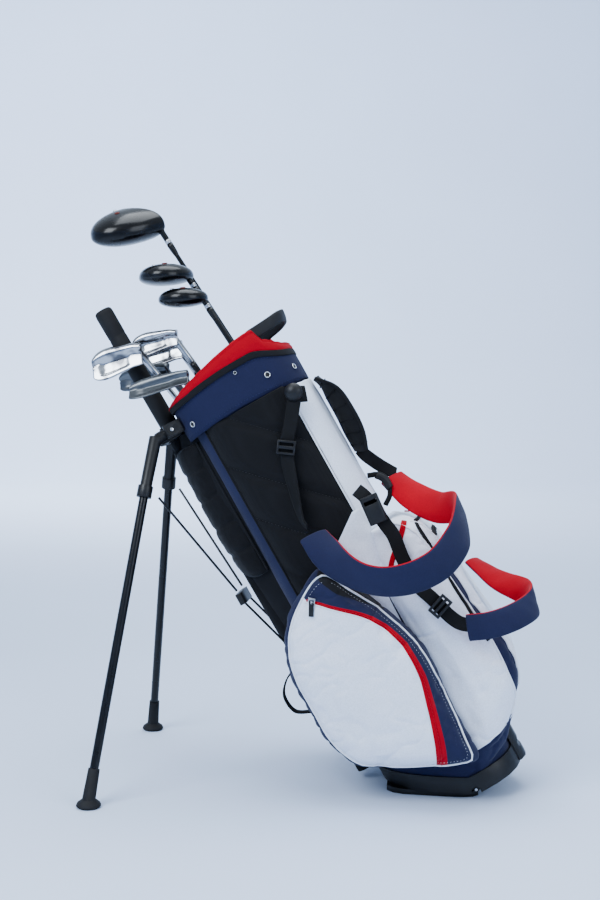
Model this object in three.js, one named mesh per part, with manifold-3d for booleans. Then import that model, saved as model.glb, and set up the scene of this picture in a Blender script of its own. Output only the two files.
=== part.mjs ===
// Golf stand bag with its clubs, leaning on its two legs. Millimetres.
// World frame: +Z up, +X from the legs towards the base, -Y the near side. The origin is the middle of the
// foot plate's flat underside.
// Bag frame: z runs up the bag's axis from the base, x from the leg side (-) to the strap side (+), y across.

import * as THREE from 'three';
import { mergeVertices } from 'three/addons/utils/BufferGeometryUtils.js';
import Module from 'manifold-3d';

const wasm = await Module();
wasm.setup();

// ---------------------------------------------------------------- driving dimensions
const LEAN = THREE.MathUtils.degToRad(30.5);
const GAP = 0.3;
const PIN = { worldX: 79, worldZ: 14, bagX: 22, bagZ: 14, radius: 3, halfLength: 92 };
const SHELL = { centreX: -6.5, halfX: 118, halfY: 106, wall: 3, top: 866, power: 2.8, floor: 41, sides: 28 };
const ROUNDS = { cuff: 32, head: 18, shaft: 10 };
const BASE = { grow: 4, floor: 4, height: 34 };
const PLATE = { halfX: 86, halfY: 96, thick: 10 };
const COLLAR = { centreX: -14, halfX: 131, halfY: 114, thick: 12, lift: 2.2 };
const BAND = { centreX: -11, halfX: 127.5, halfY: 111, thick: 2.8, bottom: 834, top: 897 };
const SLEEVE = { x: -163, z: 850, tilt: 0.9, inner: 19, wall: 1.4, bottom: 125, top: 832 };
const UMBRELLA = { handle: 17.5, canopy: 17, top: 1140, handleEnd: 872, tip: 150 };
const PIVOT = { x: -154, y: 64.5, z: 869, radius: 3.5 };
const LEG = { splay: 24.9, elbow: [36, -5], collar: [96.6, -75], foot: [458, -509], tube: 8.2, sleeve: 11 };
const ROD = { radius: 2.2, clip: [-200, 525], foot: [-66, 66], spread: 32, gap: 18 };
const ZIP = { x: -56, y: -188, z: 474, slope: 49 };
const STRAP = { width: 60, thick: 13 };
const WEB = { width: 25, thick: 2.4 };

// ---------------------------------------------------------------- materials
const paint = (color, roughness, metalness = 0) =>
  new THREE.MeshStandardMaterial({ color, roughness, metalness });
const NAVY = paint(0x28325f, 0.85);
const RED = paint(0xd62839, 0.8);
const WHITE = paint(0xd7deeb, 0.8);
const BLACK_FABRIC = paint(0x202125, 0.9);
const BLACK_PLASTIC = paint(0x17181a, 0.5);
const BLACK_METAL = paint(0x0d0e10, 0.35, 0.4);
const RUBBER = paint(0x141416, 0.75);
const GLOSS = paint(0x08080a, 0.12, 0.3);
const CHROME = paint(0xd8dadd, 0.12, 1);
const GUNMETAL = paint(0x4a4d50, 0.35, 1);
const STEEL = paint(0xb9bcc0, 0.25, 1);

// ---------------------------------------------------------------- solids
const vec = (x, y, z) => new THREE.Vector3(x, y, z);

function meshGeometry(positions, index) {
  const geometry = new THREE.BufferGeometry();
  geometry.setAttribute('position', new THREE.Float32BufferAttribute(positions, 3));
  geometry.setIndex(index);
  return facingOut(geometry);
}

// Turns every face over when the closed mesh's volume comes out negative.
function facingOut(geometry) {
  const p = geometry.getAttribute('position');
  const index = geometry.getIndex().array;
  const [a, b, c] = [vec(), vec(), vec()];
  let volume = 0;
  for (let i = 0; i < index.length; i += 3) {
    a.fromBufferAttribute(p, index[i]);
    b.fromBufferAttribute(p, index[i + 1]);
    c.fromBufferAttribute(p, index[i + 2]);
    volume += a.dot(b.cross(c));
  }
  if (volume < 0) {
    for (let i = 0; i < index.length; i += 3) [index[i], index[i + 1]] = [index[i + 1], index[i]];
  }
  return geometry;
}

// Skin over rings of equally many points; the ends get flat fans, or the last ring joins the first.
function loft(rings, closed = false) {
  const count = rings[0].length;
  const positions = rings.flat().flatMap((p) => [p.x, p.y, p.z]);
  const index = [];
  const last = closed ? rings.length : rings.length - 1;
  for (let i = 0; i < last; i++) {
    const next = (i + 1) % rings.length;
    for (let j = 0; j < count; j++) {
      const k = (j + 1) % count;
      const [a, b, c, d] = [i * count + j, i * count + k, next * count + k, next * count + j];
      index.push(a, b, c, a, c, d);
    }
  }
  if (!closed) {
    cap(rings[0], 0, positions, index, true);
    cap(rings[rings.length - 1], (rings.length - 1) * count, positions, index, false);
  }
  return meshGeometry(positions, index);
}

function cap(ring, start, positions, index, reversed) {
  const centre = ring.reduce((sum, p) => sum.add(p), vec(0, 0, 0)).divideScalar(ring.length);
  const hub = positions.length / 3;
  positions.push(centre.x, centre.y, centre.z);
  for (let j = 0; j < ring.length; j++) {
    const [a, b] = [start + j, start + ((j + 1) % ring.length)];
    if (reversed) index.push(hub, b, a);
    else index.push(hub, a, b);
  }
}

function toManifold(geometry) {
  const bare = geometry.clone();
  bare.deleteAttribute('normal');
  bare.deleteAttribute('uv');
  const merged = mergeVertices(bare, 1e-4);
  return new wasm.Manifold(
    new wasm.Mesh({
      numProp: 3,
      vertProperties: new Float32Array(merged.getAttribute('position').array),
      triVerts: new Uint32Array(merged.getIndex().array),
    }),
  );
}

function fromManifold(solid) {
  const mesh = solid.getMesh();
  const geometry = new THREE.BufferGeometry();
  geometry.setAttribute('position', new THREE.BufferAttribute(new Float32Array(mesh.vertProperties), 3));
  geometry.setIndex([...mesh.triVerts]);
  return geometry;
}

const combine = (method, first, others) =>
  fromManifold(others.reduce((solid, other) => solid[method](toManifold(other)), toManifold(first)));
const cut = (first, ...others) => combine('subtract', first, others);
const join = (first, ...others) => combine('add', first, others);
const keep = (first, ...others) => combine('intersect', first, others);

// ---------------------------------------------------------------- outlines and primitives
// Rounded rectangle: a superellipse, whose power runs from 2 (ellipse) up towards a sharp rectangle.
function rounded(halfX, halfY, power, count, centreX = 0) {
  return Array.from({ length: count }, (_, i) => {
    const angle = (2 * Math.PI * (i + 0.5)) / count;
    const [c, s] = [Math.cos(angle), Math.sin(angle)];
    const k = (Math.abs(c) ** power + Math.abs(s) ** power) ** (-1 / power);
    return [centreX + halfX * c * k, halfY * s * k];
  });
}

const prism = (outline, low, high) =>
  loft([low, high].map((z) => outline.map(([x, y]) => vec(x, y, z))));

// A slice of the bag's body, grown outwards.
const body = (grow, low, high) =>
  prism(rounded(SHELL.halfX + grow, SHELL.halfY + grow, SHELL.power, SHELL.sides, SHELL.centreX), low, high);

function box(sizeX, sizeY, sizeZ, x = 0, y = 0, z = 0) {
  return new THREE.BoxGeometry(sizeX, sizeY, sizeZ).translate(x, y, z);
}

// Polygon in the bag's side plane (x, z), extruded across y.
function sidePrism(points, halfWidth) {
  const shape = new THREE.Shape(points.map(([x, z]) => new THREE.Vector2(x, z)));
  const geometry = new THREE.ExtrudeGeometry(shape, { depth: 2 * halfWidth, bevelEnabled: false });
  return geometry.rotateX(Math.PI / 2).translate(0, halfWidth, 0);
}

// Round bar from a to b, with a radius at each end.
function bar(a, b, radiusA, radiusB = radiusA, sides = 14) {
  const axis = b.clone().sub(a);
  const geometry = new THREE.CylinderGeometry(radiusB, radiusA, axis.length(), sides);
  const turn = new THREE.Quaternion().setFromUnitVectors(vec(0, 1, 0), axis.clone().normalize());
  const middle = a.clone().add(b).multiplyScalar(0.5);
  return geometry.applyQuaternion(turn).translate(middle.x, middle.y, middle.z);
}

// Rings of a round section carried along points without twist.
function tube(points, radius, sides = 8) {
  let across = vec(0, 0, 1);
  const rings = points.map((p, i) => {
    const ahead = points[Math.min(i + 1, points.length - 1)].clone();
    const along = ahead.sub(points[Math.max(i - 1, 0)]).normalize();
    across = across.clone().addScaledVector(along, -across.dot(along)).normalize();
    const side = along.clone().cross(across);
    return Array.from({ length: sides }, (_, j) => {
      const angle = (2 * Math.PI * j) / sides;
      return p.clone().addScaledVector(across, radius * Math.cos(angle))
        .addScaledVector(side, radius * Math.sin(angle));
    });
  });
  return loft(rings);
}

// Flat band along a smooth route. Each stop is [x, y, z, wx, wy, wz]: a centre and the direction
// of its width.
function ribbon(stops, width, thick, steps) {
  const centres = new THREE.CatmullRomCurve3(stops.map(([x, y, z]) => vec(x, y, z)));
  const widths = new THREE.CatmullRomCurve3(stops.map((s) => vec(s[3], s[4], s[5]).normalize()));
  const section = [[-1, -0.5], [-0.9, -1], [0.9, -1], [1, -0.5], [1, 0.5], [0.9, 1], [-0.9, 1], [-1, 0.5]];
  const rings = Array.from({ length: steps + 1 }, (_, i) => {
    const t = i / steps;
    const along = centres.getTangent(t);
    const across = widths.getPoint(t);
    across.addScaledVector(along, -across.dot(along)).normalize();
    const up = along.clone().cross(across);
    return section.map(([u, v]) =>
      centres.getPoint(t).addScaledVector(across, (u * width) / 2).addScaledVector(up, (v * thick) / 2));
  });
  return loft(rings);
}

const lathe = (profile, sides = 14) =>
  new THREE.LatheGeometry(profile.map(([r, z]) => new THREE.Vector2(r, z)), sides).rotateX(Math.PI / 2);

const ramp = (value, low, high) => THREE.MathUtils.smoothstep(value, low, high);

// ---------------------------------------------------------------- frames
const model = new THREE.Group();
const bag = new THREE.Group();
bag.rotation.y = -LEAN;
const pinInBag = vec(PIN.bagX, 0, PIN.bagZ).applyEuler(bag.rotation);
bag.position.set(PIN.worldX - pinInBag.x, 0, PIN.worldZ - pinInBag.z);
bag.updateMatrix();
model.add(bag);

// Point of the umbrella sleeve's axis at a height on the bag.
const sleeveAxis = (z) =>
  vec(SLEEVE.x - (z - SLEEVE.z) * Math.tan(THREE.MathUtils.degToRad(SLEEVE.tilt)), 0, z);

const toWorld = (point) => point.clone().applyMatrix4(bag.matrix);

function add(name, geometry, material, parent = bag) {
  const mesh = new THREE.Mesh(geometry, material);
  mesh.name = name;
  parent.add(mesh);
  return mesh;
}

// ---------------------------------------------------------------- base
// Line under the bag, seen from the side: flat behind the pin, rising with the lean in front of it,
// so that the front half lies level on the foot plate. lift moves it up the bag's axis.
function underside(lift, flat = lift) {
  const start = PIN.bagZ - (PIN.worldZ - PLATE.thick - 1.2) / Math.cos(LEAN);
  const slope = Math.tan(LEAN);
  const bend = PIN.bagX - Math.max(0, (flat - lift - start) / slope);
  const front = -400;
  const high = start + lift;
  return [[front, high + (PIN.bagX - front) * slope], [bend, Math.max(flat, high)], [400, flat]];
}
const above = (line) => sidePrism([...line, [400, 2000], [-400, 2000]], 300);
const below = (line) => sidePrism([...line, [400, -900], [-400, -900]].reverse(), 300);

const pinAxis = (y) => vec(PIN.bagX, y, PIN.bagZ);
const wireAt = (t, y) => vec(
  THREE.MathUtils.lerp(ROD.clip[0], ROD.foot[0], t), y, THREE.MathUtils.lerp(ROD.clip[1], ROD.foot[1], t));
const wireHoles = () => [-1, 1].map((side) =>
  bar(wireAt(0.3, side * ROD.spread), wireAt(1.2, side * ROD.spread), 5.2, 5.2, 10));

function baseShell() {
  const outer = body(BASE.grow, -20, 260);
  const inner = body(0.5, -20, 260);
  const cup = cut(
    keep(outer, above(underside(0)), below(underside(BASE.height))),
    keep(inner, above(underside(BASE.floor))),
    bar(pinAxis(-150), pinAxis(150), 9.5),
  );
  const lugs = [-1, 1].map((side) => keep(
    join(bar(pinAxis(side * 32), pinAxis(side * 44), 7.4), box(20, 12, 14, 34, side * 38, 9)),
    above([[-400, 0.4], [400, 0.4]])));
  return cut(join(cup, ...lugs), bar(pinAxis(-150), pinAxis(150), PIN.radius + GAP), ...wireHoles());
}

function footPlate() {
  const rearEdge = PLATE.halfX - 3;
  const plate = keep(
    prism(rounded(PLATE.halfX + 6, PLATE.halfY, 5, 40), 0, PLATE.thick),
    box(PLATE.halfX + rearEdge, 300, 60, (rearEdge - PLATE.halfX) / 2, 0, 0));
  const pinLine = (y) => vec(PIN.worldX, y, PIN.worldZ);
  const knuckles = [[-84, -46], [-30, 30], [46, 84]]
    .map(([from, to]) => bar(pinLine(from), pinLine(to), 6.6));
  const lugRoom = [-1, 1].map((side) => box(26, 14.6, 40, PIN.worldX, side * 38, 15));
  return cut(join(plate, ...knuckles), ...lugRoom, bar(pinLine(-150), pinLine(150), PIN.radius + GAP));
}

function baseHeel() {
  const block = keep(
    prism(rounded(128, 44, 4, 24), 8, 84),
    box(60, 200, 200, 108, 0, 50));
  const grip = bar(vec(134, -30, 34), vec(134, 30, 34), 10);
  return cut(block, body(BASE.grow + GAP, -60, 200), grip);
}

add('base_shell', baseShell(), BLACK_PLASTIC);
add('base_heel', baseHeel(), BLACK_PLASTIC);
add('base_flap', footPlate(), BLACK_PLASTIC, model);
add('flap_pin', bar(vec(PIN.worldX, -PIN.halfLength, PIN.worldZ), vec(PIN.worldX, PIN.halfLength, PIN.worldZ),
  PIN.radius, PIN.radius, 16), STEEL, model);

// ---------------------------------------------------------------- body and top frame
function bagShell() {
  const { wall, floor, top } = SHELL;
  const outer = body(0, 0, top);
  const inner = body(-wall, 0, top + 10);
  return cut(
    keep(outer, above(underside(BASE.floor + 0.5, floor))),
    keep(inner, above(underside(BASE.floor + 3.5, floor + wall))),
    ...wireHoles(),
  );
}

const SLOTS = [
  { x: -75, y: -76, halfX: 44, halfY: 20 },
  { x: -80, y: 0, halfX: 42, halfY: 51.6 },
  { x: -75, y: 76, halfX: 44, halfY: 20 },
  { x: 38, y: -48, halfX: 70, halfY: 25 },
  { x: 38, y: 38, halfX: 70, halfY: 55 },
];

function clubDivider() {
  const plate = body(-SHELL.wall - GAP, 844, 862);
  const room = body(-5.6, 790, 910);
  const slots = SLOTS.map(({ x, y, halfX, halfY }) =>
    keep(prism(rounded(halfX, halfY, 6, 20).map(([u, v]) => [u + x, v + y]), 800, 900), room));
  return cut(plate, ...slots);
}

// A ring that stands on the body: each section runs from bottom(x) to top(x) and is thick across.
function cuff({ centreX, halfX, halfY, thick }, bottom, top) {
  const outer = rounded(halfX, halfY, SHELL.power, ROUNDS.cuff, centreX);
  const inner = rounded(halfX - thick, halfY - thick, SHELL.power, ROUNDS.cuff, centreX);
  return loft(outer.map(([x, y], i) => {
    const [innerX, innerY] = inner[i];
    const low = bottom(x);
    const high = top(x);
    const soft = Math.min(3, thick / 4);
    return [vec(x, y, low), vec(x, y, high - soft), vec(x + (innerX - x) * 0.3, y + (innerY - y) * 0.3, high),
      vec(x + (innerX - x) * 0.7, y + (innerY - y) * 0.7, high), vec(innerX, innerY, high - soft),
      vec(innerX, innerY, low)];
  }), true);
}

// The band is tallest in the middle of each side and drops to the strap side.
const bandTop = (x) => BAND.top + 12 * ramp(x, -150, 10) - 24 * ramp(x, 50, 122);

// The collar's rim climbs from the leg side to a peak, steps down, and falls to the strap side.
function rim(x) {
  const left = THREE.MathUtils.mapLinear(Math.min(x, 80), -145, 80, 1, 0);
  return 956 - 50 * left ** 1.45 - 26 * ramp(x, 76, 86) - 20 * ramp(x, 86, 117);
}

function liftHandle() {
  const loop = [[66, -81], [86, -72], [112, -56], [128, -32], [133, 0],
    [128, 32], [112, 56], [86, 72], [66, 81]];
  const stops = loop.map(([x, y]) => [x, y, 947 + 11 * Math.cos((Math.PI * y) / 160), 0.2, 0, 1]);
  return ribbon(stops, 22, 8, 22);
}

add('bag_shell', bagShell(), BLACK_FABRIC);
add('club_divider', clubDivider(), BLACK_PLASTIC);
add('collar_band', cuff(BAND, () => BAND.bottom, bandTop), NAVY);
add('collar_pad', cuff(COLLAR, (x) => Math.max(bandTop(x) + COLLAR.lift, SHELL.top + 0.6), rim), RED);
add('lift_handle', liftHandle(), BLACK_FABRIC);

// ---------------------------------------------------------------- pockets
// A pillow on the bag's side: the outline in (x, z) is scaled about its middle at each depth y.
function pillow(outlineStops, layers, side, count) {
  const curve = new THREE.CatmullRomCurve3(outlineStops.map(([x, z]) => vec(x, 0, z)), true, 'centripetal');
  const points = curve.getSpacedPoints(count).slice(0, count);
  const middle = points.reduce((sum, p) => sum.add(p), vec(0, 0, 0)).divideScalar(count);
  return loft(layers.map(([depth, scale]) => points.map((p) =>
    vec(middle.x + (p.x - middle.x) * scale, side * depth, middle.z + (p.z - middle.z) * scale))));
}

const SIDE_POCKET = [[-20, 519], [-88, 490], [-138, 448], [-164, 395], [-171, 302], [-165, 218], [-142, 166],
  [-98, 136], [-30, 98], [40, 68], [62, 90], [74, 200], [77, 300], [52, 392], [14, 468]];
const POCKET_LAYERS = [[110.6, 0.93], [120, 0.985], [136, 1], [156, 0.985], [172, 0.93], [183, 0.82],
  [190, 0.62], [193, 0.34]];

function ballPocket() {
  const rear = new THREE.SplineCurve([[38, 54], [49, 88], [105, 144], [148, 182], [177, 199], [250, 198],
    [313, 192], [392, 186], [470, 178], [505, 158], [528, 128]].map(([z, x]) => new THREE.Vector2(x, z)));
  const rings = rear.getPoints(11).map(({ x: reach, y: z }) => {
    const low = 82;
    const width = 131 - 22 * ramp(z, 440, 530) - 26 * (1 - ramp(z, 38, 110));
    const halfX = (Math.max(reach, low + 12) - low) / 2;
    return rounded(halfX, width, 5, 20, low + halfX).map(([u, v]) => vec(u, v, z));
  });
  return cut(loft(rings), body(BASE.grow + 0.6, -60, 700), box(200, 120, 90, 160, 0, 42));
}

function backPocket() {
  const ring = cut(body(7, 533, 824), body(0.6, 500, 900));
  return keep(ring, box(200, 400, 900, 78 + 100, 0, 600));
}

function hipPad() {
  const levels = [[548, 0.6], [562, 0.9], [620, 1], [760, 1], [830, 0.98]];
  const rings = levels.map(([z, swell]) => {
    const front = Array.from({ length: 13 }, (_, i) => {
      const angle = (Math.PI * i) / 12;
      return vec(-125.2 - 61 * swell * Math.sin(angle) ** 0.8, 61 * Math.cos(angle), z);
    });
    return front;
  });
  const channel = bar(sleeveAxis(500), sleeveAxis(900), SLEEVE.inner + SLEEVE.wall + 0.5, undefined, 20);
  return cut(loft(rings), channel);
}

const mirrorY = (geometry) => facingOut(geometry.clone().scale(1, -1, 1));
const sidePocket = pillow(SIDE_POCKET, POCKET_LAYERS, -1, 30);
add('side_pocket_near', sidePocket, WHITE);
add('side_pocket_far', mirrorY(sidePocket), WHITE);
add('ball_pocket', ballPocket(), WHITE);
add('back_pocket', backPocket(), WHITE);
add('hip_pad', hipPad(), BLACK_FABRIC);
add('grab_loop', ribbon([[-156, -98, 372, 0, 1, 0], [-186, -98, 358, 0, 1, 0], [-204, -98, 334, 0, 1, 0],
  [-200, -98, 300, 0, 1, 0], [-172, -98, 284, 0, 1, 0]], 18, 3, 12), BLACK_FABRIC);

// ---------------------------------------------------------------- umbrella and its sleeve
function umbrellaSleeve() {
  const { inner, wall, bottom, top } = SLEEVE;
  const profile = [[0, bottom], [inner + wall, bottom], [inner + wall, top], [inner, top], [inner, bottom + 4],
    [0, bottom + 4]];
  return lathe(profile, 20);
}

// Umbrella frame: the bag's, tipped a little forward about the sleeve's mouth.
const umbrella = new THREE.Group();
umbrella.rotation.y = -THREE.MathUtils.degToRad(SLEEVE.tilt);
umbrella.position.copy(vec(SLEEVE.x, 0, SLEEVE.z).sub(vec(0, 0, SLEEVE.z).applyEuler(umbrella.rotation)));
umbrella.updateMatrix();
bag.add(umbrella);
{
  const { handle, canopy, top, handleEnd, tip } = UMBRELLA;
  const grip = [[0, handleEnd], [handle, handleEnd], [handle, top - 60], [handle + 0.6, top - 5],
    [handle - 3, top - 1], [0, top]];
  const wrap = [[0, tip], [6, tip], [canopy * 0.7, tip + 120], [canopy, tip + 330], [canopy, handleEnd - 30],
    [12, handleEnd - 4], [12, handleEnd - GAP], [0, handleEnd - GAP]];
  const spike = [[0, tip - 18], [3.5, tip - 16], [5, tip - GAP], [0, tip - GAP]];
  add('umbrella_handle', lathe(grip, 20), RUBBER, umbrella);
  add('umbrella_canopy', lathe(wrap, 16), BLACK_FABRIC, umbrella);
  add('umbrella_tip', lathe(spike, 12), STEEL, umbrella);
}
add('umbrella_sleeve', umbrellaSleeve(), BLACK_FABRIC, umbrella);

// ---------------------------------------------------------------- leg bracket and legs
// Leg frame: origin at the pivot, x the way the leg splays, y along its hinge, z up the bag.
function legFrame(side) {
  const group = new THREE.Group();
  group.position.set(PIVOT.x, side * PIVOT.y, PIVOT.z);
  group.rotation.z = Math.PI - side * THREE.MathUtils.degToRad(LEG.splay);
  group.updateMatrix();
  return group;
}

function legBracket() {
  const bridge = prism(rounded(26, 60, 5, 28).map(([x, y]) => [x - 164, y]), 853, 879);
  const clevis = [-1, 1].map((side) => box(34, 36, 26, -4, 0, 0).applyMatrix4(legFrame(side).matrix));
  const slots = [-1, 1].map((side) => box(60, 20, 60, 10, 0, 0).applyMatrix4(legFrame(side).matrix));
  const bores = [-1, 1].map((side) =>
    bar(vec(0, -30, 0), vec(0, 30, 0), PIVOT.radius + GAP).applyMatrix4(legFrame(side).matrix));
  const throat = join(
    bar(sleeveAxis(840), sleeveAxis(890), 19.4, 19.4, 20),
    box(60, 38.8, 60, SLEEVE.x + 30, 0, 866),
  );
  const outline = rounded(BAND.halfX + 0.5, BAND.halfY + 0.5, SHELL.power, ROUNDS.cuff, BAND.centreX);
  const band = prism(outline, 700, 1000);
  return cut(join(bridge, ...clevis), ...slots, ...bores, throat, band, box(80, 200, 12, SLEEVE.x, 0, 846));
}

add('leg_bracket', legBracket(), BLACK_PLASTIC);

function addLeg(side, place) {
  const pivot = legFrame(side);
  bag.add(pivot);
  const at = ([x, z]) => vec(x, 0, z);
  const elbow = at(LEG.elbow);
  const collar = at(LEG.collar);
  const foot = at(LEG.foot);
  const down = foot.clone().sub(elbow).normalize();
  const sleeveEnd = collar.clone().addScaledVector(down, 14);

  const eye = bar(vec(0, -9, 0), vec(0, 9, 0), 11, 11, 20);
  const arm = bar(vec(4, 0, 0), elbow, 9, 11.5);
  const sleeve = bar(elbow.clone().addScaledVector(down, -9), collar, LEG.sleeve + 1, LEG.sleeve);
  const clamp = bar(collar.clone().addScaledVector(down, -8), sleeveEnd, LEG.sleeve + 3);
  const socket = bar(collar.clone().addScaledVector(down, -30), sleeveEnd.clone().addScaledVector(down, 5),
    LEG.tube + GAP);
  const bore = bar(vec(0, -12, 0), vec(0, 12, 0), PIVOT.radius + GAP);
  add(`leg_upper_${place}`, cut(join(eye, arm, sleeve, clamp), socket, bore), BLACK_PLASTIC, pivot);
  add(`leg_pin_${place}`, bar(vec(0, -20, 0), vec(0, 20, 0), PIVOT.radius), STEEL, pivot);

  const tubeEnd = foot.clone().addScaledVector(down, -22);
  add(`leg_tube_${place}`, bar(collar.clone().addScaledVector(down, -30 + GAP), tubeEnd, LEG.tube),
    BLACK_METAL, pivot);

  const toModel = (point) => toWorld(point.clone().applyMatrix4(pivot.matrix));
  const ankle = toModel(tubeEnd.clone().addScaledVector(down, -34));
  const heel = toModel(foot.clone().addScaledVector(down, -4));
  heel.z = 12;
  const pad = loft([[0, 19], [4, 22.5], [9, 20], [15, 12]].map(([z, radius]) =>
    Array.from({ length: 14 }, (_, i) => vec(heel.x + radius * Math.cos((i * Math.PI) / 7),
      heel.y + radius * Math.sin((i * Math.PI) / 7), z))));
  const tubeTop = toModel(collar);
  const tubeFoot = toModel(tubeEnd);
  const room = bar(tubeTop, tubeFoot.clone().addScaledVector(tubeFoot.clone().sub(tubeTop).normalize(), GAP),
    LEG.tube + GAP);
  add(`foot_${place}`, cut(join(pad, bar(ankle, heel, 10.4, 12)), room), RUBBER, model);

  const rodTop = collar.clone().add(vec(-12.5, 0, -9)).applyMatrix4(pivot.matrix);
  const clipY = side * ROD.spread;
  const rodFoot = vec(ROD.clip[0], clipY, ROD.clip[1] + ROD.gap);
  const aim = rodFoot.clone().sub(rodTop).normalize();
  const start = rodTop.clone().addScaledVector(aim, 16);
  add(`push_rod_${place}`, bar(start, rodFoot, ROD.radius, ROD.radius, 10), BLACK_METAL);
}

addLeg(-1, 'near');
addLeg(1, 'far');

// ---------------------------------------------------------------- rod clip and lower hairpin
const hairpin = (radius) => {
  const corner = 9;
  const leg = (side) => [1, 0.5, 0.03].map((t) => wireAt(t, side * ROD.spread));
  const bend = (side) => [0.35, 1]
    .map((k) => vec(ROD.clip[0], side * (ROD.spread - corner * k), ROD.clip[1]));
  return tube([...leg(-1), ...bend(-1), ...bend(1).reverse(), ...leg(1).reverse()], radius, 10);
};
const clipBlock = prism(rounded(7.5, ROD.spread + 9, 6, 24, ROD.clip[0]), ROD.clip[1] - 10, ROD.clip[1] + 12);
add('rod_clip', cut(clipBlock, hairpin(ROD.radius + GAP)), BLACK_PLASTIC);
add('lower_rod', hairpin(ROD.radius), BLACK_METAL);

// ---------------------------------------------------------------- carry straps
const NEAR_PAD = [[-3, -146, 574, 0.45, 0.75, 0.45], [13, -176, 515, 0.35, 0.3, 0.9],
  [54, -212, 462, 0.2, -0.2, 1], [107, -228, 434, 0, -0.25, 1], [170, -216, 426, -0.1, -0.2, 1],
  [222, -176, 444, 0, 0, 1], [245, -120, 470, 0.1, 0, 1], [246, -70, 484, 0.2, 0.1, 1],
  [212, -28, 498, 0.4, 0.5, 0.9], [178, 14, 540, 0.55, 0.6, 0.6], [158, 36, 588, 0.6, 0.8, 0.2]];
const LOW_PAD = [[160, -168, 298, 0, 0.2, 1], [200, -176, 284, 0, 0.1, 1], [246, -158, 274, 0.1, 0.2, 1],
  [282, -112, 272, 0.2, 0.3, 1], [276, -66, 290, 0.4, 0.5, 0.8], [244, -30, 326, 0.4, 0.8, 0.5],
  [216, 2, 378, 0.2, 1, 0.2]];
const REAR_PAD = [[130, -8, 822, 0, 1, 0], [143, -8, 784, -0.5, 0.85, 0], [146, -8, 737, -0.6, 0.8, 0],
  [143, -4, 696, -0.6, 0.8, 0], [137, -1, 660, -0.4, 0.9, 0]];
add('strap_pad_near', ribbon(NEAR_PAD, STRAP.width, STRAP.thick, 22), NAVY);
add('strap_pad_low', ribbon(LOW_PAD, STRAP.width - 12, STRAP.thick, 15), NAVY);
add('strap_pad_rear', ribbon(REAR_PAD, STRAP.width, STRAP.thick, 9), BLACK_FABRIC);

function strapHub() {
  const dome = lathe([[0, 0], [17, 0], [17, 4], [13, 9], [7, 12], [0, 13]], 18);
  return dome.rotateX(Math.PI / 2).translate(91, -115.5, 815);
}

function ladderLock() {
  const frame = box(34, 5, 26, 0, 0, 0);
  const windows = [-6, 6].map((z) => box(27, 20, 6, 0, 0, z));
  return cut(frame, ...windows).rotateY(0.62).translate(30, -121.5, 734);
}

function triglide() {
  const frame = box(40, 5, 24, 0, 0, 0);
  const windows = [-5, 5].map((z) => box(31, 20, 5, 0, 0, z));
  return cut(frame, ...windows).rotateY(-0.35).translate(136, -155, 352);
}

function strapBuckle() {
  const body = keep(prism(rounded(17, 8, 4, 20), -26, 26), box(60, 60, 60));
  return cut(body, box(24, 30, 7, 0, 0, 14)).rotateY(0.1).translate(116, -144, 560);
}

add('strap_hub', strapHub(), BLACK_PLASTIC);
const WEB_FRONT = [[86, -118, 795, 1, 0, -0.5], [58, -118, 768, 1, 0, -0.5], [30, -117, 734, 1, 0, -0.5],
  [4, -120, 660, 1, 0, -0.2], [-8, -131, 605, 1, 0, -0.1]];
add('web_front', ribbon(WEB_FRONT, WEB.width, WEB.thick, 12), BLACK_FABRIC);
add('ladder_lock', ladderLock(), BLACK_PLASTIC);
add('strap_buckle', strapBuckle(), BLACK_PLASTIC);
const WEB_REAR = [[138, 4, 652, 0.85, 0.45, 0.2], [144, 12, 636, 0.85, 0.45, 0.2],
  [152, 24, 618, 0.8, 0.5, 0.3], [161, 35, 604, 0.7, 0.6, 0.4]];
const WEB_TAIL = [[121, -143, 528, 1, 0, 0.1], [124, -143, 503, 1, 0, 0], [118, -141, 455, 1, 0, -0.1],
  [119, -143, 400, 1, 0, 0.2], [130, -146, 368, 1, 0, 0.3], [141, -150, 330, 1, 0, 0.3]];
add('web_rear', ribbon(WEB_REAR, WEB.width, WEB.thick, 6), BLACK_FABRIC);
add('web_tail', ribbon(WEB_TAIL, WEB.width, WEB.thick, 14), BLACK_FABRIC);
add('triglide', triglide(), BLACK_PLASTIC);

// ---------------------------------------------------------------- zip of the near side pocket
const zip = new THREE.Group();
zip.position.set(ZIP.x, ZIP.y, ZIP.z);
zip.rotation.y = -THREE.MathUtils.degToRad(ZIP.slope);
const pull = new THREE.Group();
pull.position.copy(zip.position);
pull.rotation.y = LEAN;
bag.add(zip, pull);
add('zip_slider', box(9, 4, 13), STEEL, zip);
const tab = prism(rounded(4.5, 1.2, 4, 12), -30, -1).translate(0, -3.6, 2);
add('zip_pull', cut(tab, box(4, 10, 5, 0, -3.6, -3)), BLACK_PLASTIC, pull);

// ---------------------------------------------------------------- clubs
// Club frame: z runs from the butt to the head, x is the level part of the heel-to-toe line, y the back.
function clubFrame(butt, head, spin) {
  const group = new THREE.Group();
  const axis = vec(...head).sub(vec(...butt));
  const turn = new THREE.Quaternion().setFromUnitVectors(vec(0, 0, 1), axis.clone().normalize());
  const roll = new THREE.Quaternion().setFromAxisAngle(vec(0, 0, 1), Math.PI + THREE.MathUtils.degToRad(spin));
  group.quaternion.copy(turn.multiply(roll));
  group.position.set(...butt);
  bag.add(group);
  return { group, length: axis.length() };
}

// Head frame: x heel to toe, y face to back, z crown (or top line) to sole, tipped to the club's lie.
function headPlace(lie, length) {
  const angle = THREE.MathUtils.degToRad(90 - lie);
  return new THREE.Matrix4().makeRotationY(-angle).setPosition(0, 0, length);
}

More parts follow.
